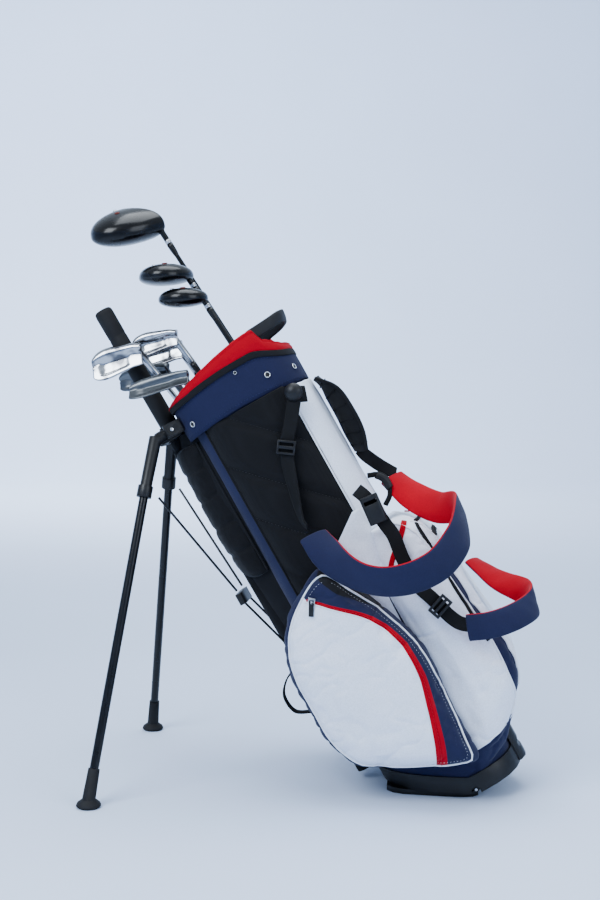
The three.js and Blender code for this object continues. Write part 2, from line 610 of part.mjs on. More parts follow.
function shaft(length, socket, radiusTip) {
  const grip = 268;
  const end = length - socket - GAP;
  return lathe([[0, 0], [13, 0], [10.2, grip], [7.4, grip], [radiusTip, end], [0, end]], ROUNDS.shaft);
}

// Wood head: rounds of one plan outline, stacked from crown to sole.
function woodHead({ toe, heel, front, back, crown, sole }) {
  const centre = (toe - heel) / 2;
  const half = (toe + heel) / 2;
  const plan = Array.from({ length: ROUNDS.head }, (_, i) => {
    const angle = (2 * Math.PI * i) / ROUNDS.head;
    const [c, s] = [Math.cos(angle), Math.sin(angle)];
    const reach = s > 0 ? back : front;
    const power = s > 0 ? 2 : 3.2;
    const k = (Math.abs(c) ** power + Math.abs(s) ** power) ** (-1 / power);
    return [centre + half * c * k, reach * s * k];
  });
  const layers = [[-crown, 0.25], [-crown * 0.85, 0.55], [-crown * 0.5, 0.84], [0, 1], [sole * 0.4, 0.92],
    [sole * 0.8, 0.7], [sole, 0.4]];
  return loft(layers.map(([z, scale]) => plan.map(([x, y]) =>
    vec(centre + (x - centre) * scale, y * scale + 0.15 * back * (1 - scale), z))));
}

// Iron head: sections from heel to toe, thick at the sole and thin at the top line, leaned back by the loft.
function ironHead({ length, heelHeight, toeHeight, sole, loft: loftAngle, soleWidth }) {
  const lean = THREE.MathUtils.degToRad(loftAngle);
  const rings = Array.from({ length: 11 }, (_, i) => {
    const t = i / 10;
    const x = -9 + (length + 9) * t;
    const round = Math.sqrt(Math.max(0, 1 - Math.max(0, (t - 0.58) / 0.44) ** 2));
    const height = THREE.MathUtils.lerp(heelHeight, toeHeight, t) * (0.32 + 0.68 * round);
    const rise = (THREE.MathUtils.lerp(heelHeight, toeHeight, t) - height) * 0.55 + 3 * (1 - ramp(t, 0, 0.2));
    const width = soleWidth * (0.55 + 0.45 * round);
    const section = [[0, 0], [height, 0], [height, 5], [height * 0.45, width * 0.45], [height * 0.2, width],
      [height * 0.04, width * 0.9], [-1.5, width * 0.5]];
    return section.map(([up, thick]) => {
      const u = up + rise;
      return vec(x, -6 + u * Math.sin(lean) + thick * Math.cos(lean),
        sole - u * Math.cos(lean) + thick * Math.sin(lean) * 0.5);
    });
  });
  return loft(rings);
}

function addClub({ name, butt, head, spin, lie, socket, radiusTip, hosel, shape, finish, shaftFinish }) {
  const { group, length } = clubFrame(butt, head, spin);
  const solid = shape().applyMatrix4(headPlace(lie, length));
  const neck = bar(vec(0, 0, length - socket), vec(0, 0, length + hosel.reach), hosel.low, hosel.high, 12);
  add(`${name}_head`, join(solid, neck), finish, group);
  add(`${name}_shaft`, shaft(length, socket, radiusTip), shaftFinish, group);
}

const wood = (dims) => () => woodHead(dims);
const iron = (loftAngle, extra = {}) => () =>
  ironHead({ length: 78, heelHeight: 30, toeHeight: 54, sole: 12, soleWidth: 19, loft: loftAngle, ...extra });
const woodNeck = { low: 5.6, high: 8, reach: 2 };
const ironNeck = { low: 6.6, high: 6.8, reach: 10 };

[
  { name: 'driver', butt: [70, 50, 48], head: [0, 60, 1238], spin: -35, lie: 60, socket: 42, radiusTip: 4.4,
    hosel: woodNeck, shape: wood({ toe: 122, heel: 13, front: 16, back: 106, crown: 27, sole: 38 }),
    finish: GLOSS, shaftFinish: BLACK_METAL },
  { name: 'fairway', butt: [84, -6, 48], head: [10, -5, 1113], spin: 0, lie: 60, socket: 26, radiusTip: 4.4,
    hosel: woodNeck, shape: wood({ toe: 92, heel: 12, front: 13, back: 66, crown: 16, sole: 26 }),
    finish: GLOSS, shaftFinish: BLACK_METAL },
  { name: 'hybrid', butt: [82, -48, 48], head: [20, -42, 1056], spin: 0, lie: 60, socket: 22, radiusTip: 4.7,
    hosel: woodNeck, shape: wood({ toe: 84, heel: 10, front: 12, back: 46, crown: 15, sole: 22 }),
    finish: GLOSS, shaftFinish: BLACK_METAL },
  { name: 'iron_1', butt: [30, -40, 50], head: [-137, -43, 1034], spin: 0, lie: 61, socket: 62, radiusTip: 4.7,
    hosel: ironNeck, shape: iron(24, { length: 88, toeHeight: 60 }), finish: CHROME, shaftFinish: STEEL },
  { name: 'iron_2', butt: [45, -2, 48], head: [-70, -8, 1026], spin: 0, lie: 61, socket: 62, radiusTip: 4.7,
    hosel: ironNeck, shape: iron(27, { toeHeight: 58 }), finish: CHROME, shaftFinish: STEEL },
  { name: 'iron_3', butt: [24, 66, 48], head: [-88, 89, 1016], spin: 0, lie: 62, socket: 62, radiusTip: 4.7,
    hosel: ironNeck, shape: iron(28), finish: CHROME, shaftFinish: STEEL },
  { name: 'iron_4', butt: [7, 34, 50], head: [-124, 44, 985], spin: -24, lie: 62, socket: 62, radiusTip: 4.7,
    hosel: ironNeck, shape: iron(30, { length: 104 }), finish: GUNMETAL, shaftFinish: STEEL },
  { name: 'wedge', butt: [-20, -67, 64], head: [-80, -71, 936], spin: 0, lie: 68, socket: 62, radiusTip: 4.7,
    hosel: ironNeck, shape: iron(58, { soleWidth: 24, length: 104, toeHeight: 62, heelHeight: 34 }),
    finish: GUNMETAL, shaftFinish: STEEL },
].forEach(addClub);

export default model;
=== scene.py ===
import math

import bmesh
import bpy
import numpy as np
from mathutils import Matrix, Vector, noise
from mathutils.bvhtree import BVHTree


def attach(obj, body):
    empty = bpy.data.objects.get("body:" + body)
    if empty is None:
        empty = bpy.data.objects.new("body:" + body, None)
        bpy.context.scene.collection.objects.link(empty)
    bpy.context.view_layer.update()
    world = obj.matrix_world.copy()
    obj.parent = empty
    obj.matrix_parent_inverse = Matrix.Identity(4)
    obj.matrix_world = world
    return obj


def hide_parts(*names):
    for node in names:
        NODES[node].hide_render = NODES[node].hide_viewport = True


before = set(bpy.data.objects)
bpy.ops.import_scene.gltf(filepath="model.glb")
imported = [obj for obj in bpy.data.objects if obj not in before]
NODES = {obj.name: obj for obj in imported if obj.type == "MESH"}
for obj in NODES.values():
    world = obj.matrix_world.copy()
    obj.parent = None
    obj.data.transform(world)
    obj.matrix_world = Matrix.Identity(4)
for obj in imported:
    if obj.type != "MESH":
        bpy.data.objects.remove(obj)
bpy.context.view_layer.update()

# ------------------------------------------------------------------ bag frame, in millimetres
LEAN = math.radians(30.5)
BAG = (
    Matrix.Translation((0.079, 0, 0.014))
    @ Matrix.Rotation(-LEAN, 4, "Y")
    @ Matrix.Translation((-0.022, 0, -0.014))
)
BAG_INVERSE = BAG.inverted()
MM = 0.001
POWER = 2.8  # of the superellipse that every ring round the bag follows
SHELL = {"centre": -6.5, "half_x": 118, "half_y": 106, "top": 865.8, "wall": 2.8}
BAND = {"centre": -11, "half_x": 127.5, "half_y": 111, "bottom": 834}
COLLAR = {"centre": -14, "half_x": 131, "half_y": 114, "thick": 12}
SIDES = ((-1, "near"), (1, "far"))


def at(x, y, z):
    """A point of the bag frame, given in millimetres, as a world point in metres."""
    return local(BAG, x, y, z)


def local(matrix, x, y, z):
    """A point in millimetres of a frame given by its matrix."""
    return matrix @ Vector((x * MM, y * MM, z * MM))


def bag_axis(x, y, z):
    return (BAG.to_3x3() @ Vector((x, y, z))).normalized()


def bag_coordinates(obj):
    """Every vertex of obj in the bag frame, in millimetres."""
    co = np.empty(len(obj.data.vertices) * 3, np.float32)
    obj.data.vertices.foreach_get("co", co)
    co = co.reshape(-1, 3).astype(float)
    inverse = np.array(BAG_INVERSE @ obj.matrix_world)
    return (co @ inverse[:3, :3].T + inverse[:3, 3]) / MM


def ramp(value, low, high):
    t = min(1.0, max(0.0, (value - low) / (high - low)))
    return t * t * (3 - 2 * t)


def rounded(half_x, half_y, power, count, centre=0.0, shift=0.5):
    """A superellipse outline, matching the CAD's."""
    points = []
    for i in range(count):
        angle = 2 * math.pi * (i + shift) / count
        c, s = math.cos(angle), math.sin(angle)
        k = (abs(c) ** power + abs(s) ** power) ** (-1 / power)
        points.append((centre + half_x * c * k, half_y * s * k))
    return points


def catmull(stops, t, closed=False):
    """Centripetal Catmull-Rom point at t from 0 to 1, through stops of any dimension."""
    count = len(stops)
    span = (count if closed else count - 1) * min(max(t, 0.0), 1.0)
    i = int(span)
    w = span - i
    if not closed and i >= count - 1:
        i, w = count - 2, 1.0
    p1, p2 = stops[i % count], stops[(i + 1) % count]
    p0 = stops[(i - 1) % count] if closed or i > 0 else 2 * p1 - p2
    p3 = stops[(i + 2) % count] if closed or i + 2 < count else 2 * p2 - p1
    d0, d1, d2 = [max(np.linalg.norm(b - a), 1e-4) ** 0.5 for a, b in ((p0, p1), (p1, p2), (p2, p3))]
    t1 = ((p1 - p0) / d0 - (p2 - p0) / (d0 + d1) + (p2 - p1) / d1) * d1
    t2 = ((p2 - p1) / d1 - (p3 - p1) / (d1 + d2) + (p3 - p2) / d2) * d1
    return p1 + t1 * w + (-3 * p1 + 3 * p2 - 2 * t1 - t2) * w**2 + (2 * p1 - 2 * p2 + t1 + t2) * w**3


def path(stops, count, closed=False):
    """Evenly spaced points along the smooth curve through stops."""
    stops = stops_of(stops)
    dense = np.array([catmull(stops, i / 400, closed) for i in range(401)])
    steps = np.linalg.norm(np.diff(dense[:, :3], axis=0), axis=1)
    along = np.concatenate([[0], np.cumsum(steps)])
    wanted = np.linspace(0, along[-1], count + 1 if closed else count)
    if closed:
        wanted = wanted[:-1]
    return np.stack([np.interp(wanted, along, dense[:, k]) for k in range(dense.shape[1])], axis=1)


def curve(pairs, count, closed=False):
    """Evenly spaced pairs of numbers along the smooth curve through pairs."""
    return path([(a, b, 0) for a, b in pairs], count, closed)[:, :2]


def stops_of(rows):
    return [np.array(row, float) for row in rows]


def circle(count):
    """The angles of count points around a circle."""
    return [2 * math.pi * i / count for i in range(count)]


# ------------------------------------------------------------------ meshes
def new_object(name, vertices, faces, smooth=True):
    mesh = bpy.data.meshes.new(name)
    mesh.from_pydata([tuple(v) for v in vertices], [], faces)
    mesh.validate()
    obj = bpy.data.objects.new(name, mesh)
    bpy.context.scene.collection.objects.link(obj)
    work = bmesh.new()
    work.from_mesh(mesh)
    bmesh.ops.recalc_face_normals(work, faces=work.faces)
    work.to_mesh(mesh)
    work.free()
    mesh.polygons.foreach_set("use_smooth", [smooth] * len(mesh.polygons))
    return obj


def skin(name, rings, around=True, capped=False, ringed=False):
    """A surface over rings of equally many points."""
    count = len(rings[0])
    vertices = [p for ring in rings for p in ring]
    faces = []
    last = len(rings) if ringed else len(rings) - 1
    for i in range(last):
        n = (i + 1) % len(rings)
        for j in range(count if around else count - 1):
            k = (j + 1) % count
            faces.append((i * count + j, i * count + k, n * count + k, n * count + j))
    if capped:
        faces.append(tuple(range(count)))
        start = (len(rings) - 1) * count
        faces.append(tuple(start + j for j in reversed(range(count))))
    return new_object(name, vertices, faces)


def frames_along(points):
    """A direction of travel and an across direction for each point, without twist."""
    points = [Vector(p) for p in points]
    across = Vector((0.13, 0.27, 0.95))
    result = []
    for i in range(len(points)):
        along = (points[min(i + 1, len(points) - 1)] - points[max(i - 1, 0)]).normalized()
        across = across - along * across.dot(along)
        if across.length < 1e-6:
            across = along.orthogonal()
        across.normalize()
        result.append((along, across, along.cross(across)))
    return result


def tube(name, points, radius, sides=10, closed=False):
    """A round tube along world points."""
    points = [Vector(p) for p in points]
    rings = [[p + (u * math.cos(a) + v * math.sin(a)) * radius for a in circle(sides)]
             for p, (_, u, v) in zip(points, frames_along(points))]
    return skin(name, rings, capped=not closed, ringed=closed)


def lathe(name, profile, matrix, sides=40):
    """A turned solid: profile is (radius, height) in millimetres, along z of matrix."""
    rings = [[local(matrix, max(r, 0.02) * math.cos(a), max(r, 0.02) * math.sin(a), z) for a in circle(sides)]
             for r, z in profile]
    return skin(name, rings, capped=True)


def band_section(width, thick, crown=0.0, count=10, edge=1.0):
    """A strap's cross-section: thin rounded edges and a crowned middle on both faces."""
    half = width / 2
    top = []
    for i in range(count + 1):
        u = -1 + 2 * i / count
        rise = thick / 2 * (edge + (1 - edge) * (1 - abs(u) ** 3)) + crown * (1 - u * u)
        top.append((u * half, rise))
    bottom = [(u, -v) for u, v in reversed(top)]
    return top + bottom


def strap(name, stops, section, steps, wave=0.0):
    """A band that follows stops of (x, y, z, wx, wy, wz): centres and width directions in the bag frame."""
    centres = [s[:3] for s in stops_of(stops)]
    widths = [s[3:] / np.linalg.norm(s[3:]) for s in stops_of(stops)]
    rings = []
    for i in range(steps + 1):
        t = i / steps
        c = catmull(centres, t)
        along = catmull(centres, min(t + 0.002, 1)) - catmull(centres, max(t - 0.002, 0))
        along /= np.linalg.norm(along)
        across = catmull(widths, t)
        across = across - along * across.dot(along)
        across /= np.linalg.norm(across)
        up = np.cross(along, across)
        ripples = [wave * math.sin(t * 47 + u * 0.11) * math.sin(t * 23 + 1.7) for u, _ in section]
        rings.append([at(*(c + across * u + up * (v + r))) for (u, v), r in zip(section, ripples)])
    return skin(name, rings, capped=True)


def bevelled(node, width=0.8, segments=2, angle=32):
    """A smooth-edged copy of a hard CAD node, standing in the same place."""
    source = NODES[node]
    mesh = source.data.copy()
    obj = bpy.data.objects.new(node + "_finish", mesh)
    bpy.context.scene.collection.objects.link(obj)
    work = bmesh.new()
    work.from_mesh(mesh)
    bmesh.ops.remove_doubles(work, verts=work.verts, dist=1e-5)
    bmesh.ops.dissolve_limit(work, angle_limit=math.radians(1), verts=work.verts, edges=work.edges)
    work.to_mesh(mesh)
    work.free()
    if mesh.has_custom_normals:
        bpy.context.view_layer.objects.active = obj
        obj.select_set(True)
        bpy.ops.mesh.customdata_custom_splitnormals_clear()
        obj.select_set(False)
    smooth_shading(obj)
    mesh.set_sharp_from_angle(angle=math.radians(angle))
    if width:
        bevel = obj.modifiers.new("Bevel", "BEVEL")
        bevel.width = width * MM
        bevel.segments = segments
        bevel.limit_method = "ANGLE"
        bevel.angle_limit = math.radians(angle)
        bevel.harden_normals = False
        apply_modifiers(obj)
        smooth_shading(obj)
        obj.data.set_sharp_from_angle(angle=math.radians(50))
    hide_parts(node)
    return obj


def smooth_shading(obj):
    obj.data.polygons.foreach_set("use_smooth", [True] * len(obj.data.polygons))


def normals_of(obj):
    return np.array([v.normal for v in obj.data.vertices])


def apply_modifiers(obj):
    depsgraph = bpy.context.evaluated_depsgraph_get()
    evaluated = obj.evaluated_get(depsgraph)
    mesh = bpy.data.meshes.new_from_object(evaluated)
    old = obj.data
    obj.modifiers.clear()
    obj.data = mesh
    bpy.data.meshes.remove(old)


def subdivide(obj, levels=1):
    modifier = obj.modifiers.new("Smooth", "SUBSURF")
    modifier.levels = levels
    modifier.render_levels = levels
    apply_modifiers(obj)
    smooth_shading(obj)


def attribute(obj, name, values):
    layer = obj.data.attributes.get(name) or obj.data.attributes.new(name, "FLOAT", "POINT")
    layer.data.foreach_set("value", np.asarray(values, np.float32))


def shift_vertices(obj, offsets):
    co = np.empty(len(obj.data.vertices) * 3, np.float32)
    obj.data.vertices.foreach_get("co", co)
    obj.data.vertices.foreach_set("co", co + np.asarray(offsets, np.float32).ravel())
    obj.data.update()


def wrinkle(obj, height, size, seed=0.0, stretch=(1, 1, 1), sharp=False):
    """Slow folds of a slack cloth, as offsets along the normals in millimetres; sharp makes them creases."""
    normals = normals_of(obj)
    points = bag_coordinates(obj) * np.array(stretch) / size
    values = np.array([noise.fractal(Vector(p) + Vector((seed, seed, seed)), 0.6, 2.1, 3) for p in points])
    if sharp:
        values = 0.25 - np.exp(-abs(values) * 7)
    shift_vertices(obj, normals * (values * height * MM)[:, None])


def stuffed(obj, voxel, pressure, cap, frames=20):
    """Blows a closed cloth form up a little, so that it crowns and creases like a stuffed one."""
    remesh = obj.modifiers.new("Remesh", "REMESH")
    remesh.mode = "VOXEL"
    remesh.voxel_size = voxel * MM
    apply_modifiers(obj)
    before = np.array([v.co for v in obj.data.vertices])
    cloth = obj.modifiers.new("Cloth", "CLOTH")
    settings = cloth.settings
    settings.quality = 4
    settings.mass = 0.3
    settings.tension_stiffness = 12
    settings.compression_stiffness = 12
    settings.bending_stiffness = 0.6
    settings.use_pressure = True
    settings.uniform_pressure_force = pressure
    settings.effector_weights.gravity = 0
    cloth.collision_settings.use_collision = False
    scene = bpy.context.scene
    for step in range(1, frames + 1):
        scene.frame_set(step)
    depsgraph = bpy.context.evaluated_depsgraph_get()
    evaluated = obj.evaluated_get(depsgraph)
    after = np.array([v.co for v in evaluated.data.vertices])
    obj.modifiers.clear()
    scene.frame_set(1)
    move = after - before
    length = np.linalg.norm(move, axis=1, keepdims=True)
    move *= np.minimum(1, cap * MM / np.maximum(length, 1e-9))
    shift_vertices(obj, move)
    smooth_shading(obj)


# ------------------------------------------------------------------ materials
class Paint:
    """A node material with short names for the steps used here."""

    def __init__(self, name, color, roughness=0.6, metallic=0.0):
        self.material = bpy.data.materials.new(name)
        self.material.use_nodes = True
        self.tree = self.material.node_tree
        self.shader = self.tree.nodes["Principled BSDF"]
        self.shader.inputs["Base Color"].default_value = (*color, 1)
        self.shader.inputs["Roughness"].default_value = roughness
        self.shader.inputs["Metallic"].default_value = metallic
        coordinates = self.tree.nodes.new("ShaderNodeTexCoord")
        mapping = self.tree.nodes.new("ShaderNodeMapping")
        mapping.inputs["Rotation"].default_value = (0, LEAN, 0)
        self.tree.links.new(coordinates.outputs["Object"], mapping.inputs["Vector"])
        self.place = mapping.outputs["Vector"]
        self.color = None
        self.base = color
        self.height = None

    def node(self, kind, **settings):
        made = self.tree.nodes.new(kind)
        for key, value in settings.items():
            setattr(made, key, value)
        return made

    def link(self, a, b):
        self.tree.links.new(a, b)

    def noise(self, scale, detail=3.0, rough=0.55):
        made = self.node("ShaderNodeTexNoise")
        made.inputs["Scale"].default_value = scale
        made.inputs["Detail"].default_value = detail
        made.inputs["Roughness"].default_value = rough
        self.link(self.place, made.inputs["Vector"])
        return made.outputs["Fac"]

    def wave(self, direction, pitch):
        made = self.node("ShaderNodeTexWave", bands_direction=direction)
        made.inputs["Scale"].default_value = 0.314159 / (pitch * MM)
        made.inputs["Distortion"].default_value = 0.4
        self.link(self.place, made.inputs["Vector"])
        return made.outputs["Fac"]

    def value_of(self, name):
        made = self.node("ShaderNodeAttribute", attribute_name=name)
        return made.outputs["Fac"]

    def math(self, operation, a, b=None):
        made = self.node("ShaderNodeMath", operation=operation)
        for i, v in enumerate((a, b)):
            if v is None:
                continue
            if isinstance(v, (int, float)):
                made.inputs[i].default_value = v
            else:
                self.link(v, made.inputs[i])
        return made.outputs["Value"]

    def span(self, value, low, high, to_low=0.0, to_high=1.0):
        made = self.node("ShaderNodeMapRange")
        for i, v in enumerate((low, high, to_low, to_high)):
            made.inputs[i + 1].default_value = v
        self.link(value, made.inputs[0])
        return made.outputs["Result"]

    def mix(self, factor, a, b, blend="MIX"):
        made = self.node("ShaderNodeMix", data_type="RGBA", blend_type=blend)
        if isinstance(factor, float):
            made.inputs["Factor"].default_value = factor
        else:
            self.link(factor, made.inputs["Factor"])
        for socket, v in ((made.inputs[6], a), (made.inputs[7], b)):
            if isinstance(v, tuple):
                socket.default_value = (*v, 1)
            else:
                self.link(v, socket)
        return made.outputs[2]

    def layer(self, factor, color, blend="MIX"):
        under = self.base if self.color is None else self.color
        self.color = self.mix(factor, under, color, blend)

    def zone(self, name, color, low=0.0):
        """Paints color where the attribute is above low."""
        self.layer(self.math("GREATER_THAN", self.value_of(name), low), color)

    def speckle(self, scale, amount):
        """Varies the colour by a share of itself."""
        shade = self.span(self.noise(scale), 0.3, 0.7, 1 - amount, 1 + amount)
        combined = self.node("ShaderNodeCombineColor")
        for i in range(3):
            self.link(shade, combined.inputs[i])
        self.layer(1.0, combined.outputs[0], "MULTIPLY")

    def raise_by(self, value, amount):
        scaled = self.math("MULTIPLY", value, amount)
        self.height = scaled if self.height is None else self.math("ADD", self.height, scaled)

    def rough(self, scale, low, high):
        self.link(self.span(self.noise(scale), 0.3, 0.7, low, high), self.shader.inputs["Roughness"])

    def done(self, strength=0.5, distance=0.001):
        if self.color is not None:
            self.link(self.color, self.shader.inputs["Base Color"])
        if self.height is not None:
            bump = self.node("ShaderNodeBump")
            bump.inputs["Strength"].default_value = strength
            bump.inputs["Distance"].default_value = distance
            self.link(self.height, bump.inputs["Height"])
            self.link(bump.outputs["Normal"], self.shader.inputs["Normal"])
        return self.material


NAVY = (0.019, 0.022, 0.062)
RED = (0.42, 0.006, 0.014)
WHITE = (0.78, 0.82, 0.90)
BLACK = (0.012, 0.012, 0.014)
PANEL = (0.006, 0.006, 0.007)


def fabric(name, color, pitch=1.5, zones=(), roughness=0.85, weave=0.5, dirt=0.05, sheen=0.1):
    paint = Paint(name, color, roughness)
    for label, tint in zones:
        paint.zone(label, tint)
    paint.speckle(5, dirt)
    paint.speckle(420, 0.07)
    for direction in "XYZ":
        paint.raise_by(paint.wave(direction, pitch), weave / 3)
    paint.raise_by(paint.noise(55, 4), 0.7)
    paint.shader.inputs["Sheen Weight"].default_value = sheen
    paint.shader.inputs["Sheen Roughness"].default_value = 0.5
    paint.shader.inputs["Specular IOR Level"].default_value = 0.3
    return paint.done(0.35, 0.0008)


def mesh_cloth(name, color):
    """Air mesh: rows of small holes over a dark backing."""
    paint = Paint(name, color, 0.8)
    holes = paint.node("ShaderNodeTexVoronoi")
    holes.inputs["Scale"].default_value = 330
    holes.inputs["Randomness"].default_value = 0.25
    paint.link(paint.place, holes.inputs["Vector"])
    open_mesh = paint.span(holes.outputs["Distance"], 0.25, 0.5)
    paint.layer(open_mesh, tuple(c * 1.6 for c in color))
    paint.raise_by(open_mesh, 0.3)
    paint.shader.inputs["Specular IOR Level"].default_value = 0.25
    paint.shader.inputs["Sheen Weight"].default_value = 0.12
    return paint.done(0.4, 0.0006)


def moulded(name, color, roughness=0.5, grain=0.35):
    paint = Paint(name, color, roughness)
    paint.layer(paint.span(paint.noise(9), 0.45, 0.75, 0.0, 0.5), tuple(c * 1.8 + 0.002 for c in color))
    paint.speckle(300, 0.1)
    paint.raise_by(paint.noise(900, 2), grain)
    paint.rough(12, roughness - 0.08, roughness + 0.12)
    return paint.done(0.3, 0.0003)


def metal(name, color, roughness, streak="Z", metallic=1.0, coat=0.0, painted_reflection=None):
    paint = Paint(name, color, roughness, metallic)
    lines = paint.node("ShaderNodeTexNoise")
    stretch = paint.node("ShaderNodeMapping")
    stretch.inputs["Scale"].default_value = (40, 40, 900) if streak == "X" else (900, 900, 30)
    paint.link(paint.place, stretch.inputs["Vector"])
    paint.link(stretch.outputs["Vector"], lines.inputs["Vector"])
    paint.raise_by(lines.outputs["Fac"], 0.25)
    paint.layer(paint.span(paint.noise(30), 0.4, 0.8, 0.0, 0.25), tuple(c * 0.8 for c in color))
    # painted reflection: dark clouds laid into the colour stand in for the dark surroundings that a mirror finish
    # reflects
    if painted_reflection:
        paint.layer(paint.span(paint.noise(26, 2), 0.48, 0.60, 0.0, 0.85), painted_reflection)
    paint.rough(25, max(0.03, roughness - 0.04), roughness + 0.08)
    paint.shader.inputs["Coat Weight"].default_value = coat
    paint.shader.inputs["Coat Roughness"].default_value = 0.15
    paint.shader.inputs["Specular IOR Level"].default_value = 0.35
    return paint.done(0.08, 0.0002)


# the record's material slot and the material of each look
LOOKS = {
    "navy": ("navy_fabric", fabric("navy_fabric", NAVY, 1.3, dirt=0.1, sheen=0.03)),
    "red": ("red_fabric", fabric("red_fabric", RED, 1.3, dirt=0.06, sheen=0.03)),
    "white": ("white_fabric", fabric("white_fabric", WHITE, 1.4, dirt=0.03, weave=0.35)),
    "black": ("black_fabric", fabric("black_fabric", BLACK, 1.6, dirt=0.15, sheen=0.03)),
    "webbing": ("black_fabric", fabric("webbing", (0.011, 0.011, 0.012), 1.9, weave=0.9, dirt=0.15,
                                       sheen=0.02)),
    "mesh": ("black_fabric", mesh_cloth("black_mesh", PANEL)),
    "piping": ("white_fabric", fabric("piping", (0.8, 0.82, 0.86), 0.9)),
    "thread": ("white_fabric", moulded("thread", (0.75, 0.77, 0.8), 0.7, 0.1)),
    "dark_thread": ("navy_fabric", moulded("dark_thread", (0.02, 0.03, 0.09), 0.7, 0.1)),
    "plastic": ("black_plastic", moulded("black_plastic", (0.010, 0.010, 0.011), 0.42)),
    "handle": ("black_plastic", moulded("handle_rubber", (0.012, 0.012, 0.014), 0.6, 0.8)),
    "rubber": ("rubber", moulded("rubber", (0.010, 0.010, 0.011), 0.7, 0.8)),
    "grip": ("rubber", moulded("grip_rubber", (0.009, 0.009, 0.010), 0.65, 1.2)),
    "paint": ("black_metal", metal("black_coat", (0.006, 0.006, 0.007), 0.28, metallic=0.2, coat=0.4)),
    "gloss": ("gloss_black", metal("gloss_black", (0.004, 0.004, 0.005), 0.24, metallic=0.0, coat=0.25)),
    # chrome: its dark clouds are a painted reflection of the surroundings, not stains
    "chrome": ("chrome", metal("chrome", (0.50, 0.51, 0.53), 0.16, streak="X", painted_reflection=(0.07, 0.07, 0.08))),
    "satin": ("chrome", metal("satin_steel", (0.55, 0.56, 0.58), 0.28, streak="X")),
    "gunmetal": ("gunmetal", metal("gunmetal", (0.16, 0.17, 0.18), 0.3, streak="X")),
    "steel": ("steel", metal("steel", (0.6, 0.61, 0.62), 0.25)),
    "accent": ("gloss_black", metal("sole_accent", (0.12, 0.02, 0.012), 0.3, metallic=0.6)),
    "ferrule": ("black_plastic", moulded("ferrule", (0.008, 0.008, 0.009), 0.25, 0.1)),
    "red_teeth": ("red_fabric", moulded("red_teeth", (0.45, 0.02, 0.03), 0.5, 0.1)),
}


def finish(obj, look, body="bag"):
    obj.data.materials.clear()
    obj.data.materials.append(LOOKS[look][1] if isinstance(look, str) else look)
    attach(obj, body)


def piping(name, points, radius, look, body="bag", sides=8, closed=False):
    finish(tube(name, points, radius * MM, sides, closed), look, body)


def stitches(name, points, outward, look, length=3.4, gap=2.6, radius=0.45, body="bag"):
    """A row of thread stitches along points; outward is one direction, or one for each point."""
    points = [Vector(p) for p in points]
    steps = [0.0]
    for a, b in zip(points, points[1:]):
        steps.append(steps[-1] + (b - a).length / MM)
    vertices, faces = [], []
    cursor = gap
    while cursor + length < steps[-1]:
        ends = []
        for s in (cursor, cursor + length):
            i = max(0, min(len(points) - 2, int(np.searchsorted(steps, s)) - 1))
            w = (s - steps[i]) / max(steps[i + 1] - steps[i], 1e-6)
            ends.append((points[i].lerp(points[i + 1], w), i))
        (a, i), (b, _) = ends
        out = Vector(outward[i]) if isinstance(outward, (list, np.ndarray)) else Vector(outward)
        along = (b - a).normalized()
        side = along.cross(out).normalized()
        middle = (a + b) / 2 + out * radius * MM * 1.2
        start = len(vertices)
        vertices += [a - out * radius * MM, middle + side * radius * MM, middle + out * radius * MM * 0.6,
                     middle - side * radius * MM, b - out * radius * MM]
        faces += [(start, start + 1, start + 2), (start, start + 2, start + 3),
                  (start + 4, start + 2, start + 1),
                  (start + 4, start + 3, start + 2), (start, start + 3, start + 4, start + 1)]
        cursor += length + gap
    finish(new_object(name, vertices, faces), look, body)


# ------------------------------------------------------------------ camera, floor and light
def camera():
    yaw, pitch, roll = math.radians(6.29), math.radians(3.33), math.radians(0.93)
    forward = Vector((-math.sin(yaw) * math.cos(pitch), math.cos(yaw) * math.cos(pitch), -math.sin(pitch)))
    right = Vector((math.cos(yaw), math.sin(yaw), 0))
    up = right.cross(forward)
    tilted = right * math.cos(roll) + up * math.sin(roll)
    over = tilted.cross(forward)
    data = bpy.data.cameras.new("camera")
    data.lens = 52
    data.sensor_width = 36
    data.clip_end = 50
    obj = bpy.data.objects.new("camera", data)
    basis = Matrix((tilted, over, -forward)).transposed().to_4x4()
    obj.matrix_world = Matrix.Translation((0.0044, -2.4655, 0.7716)) @ basis
    bpy.context.scene.collection.objects.link(obj)
    bpy.context.scene.camera = obj


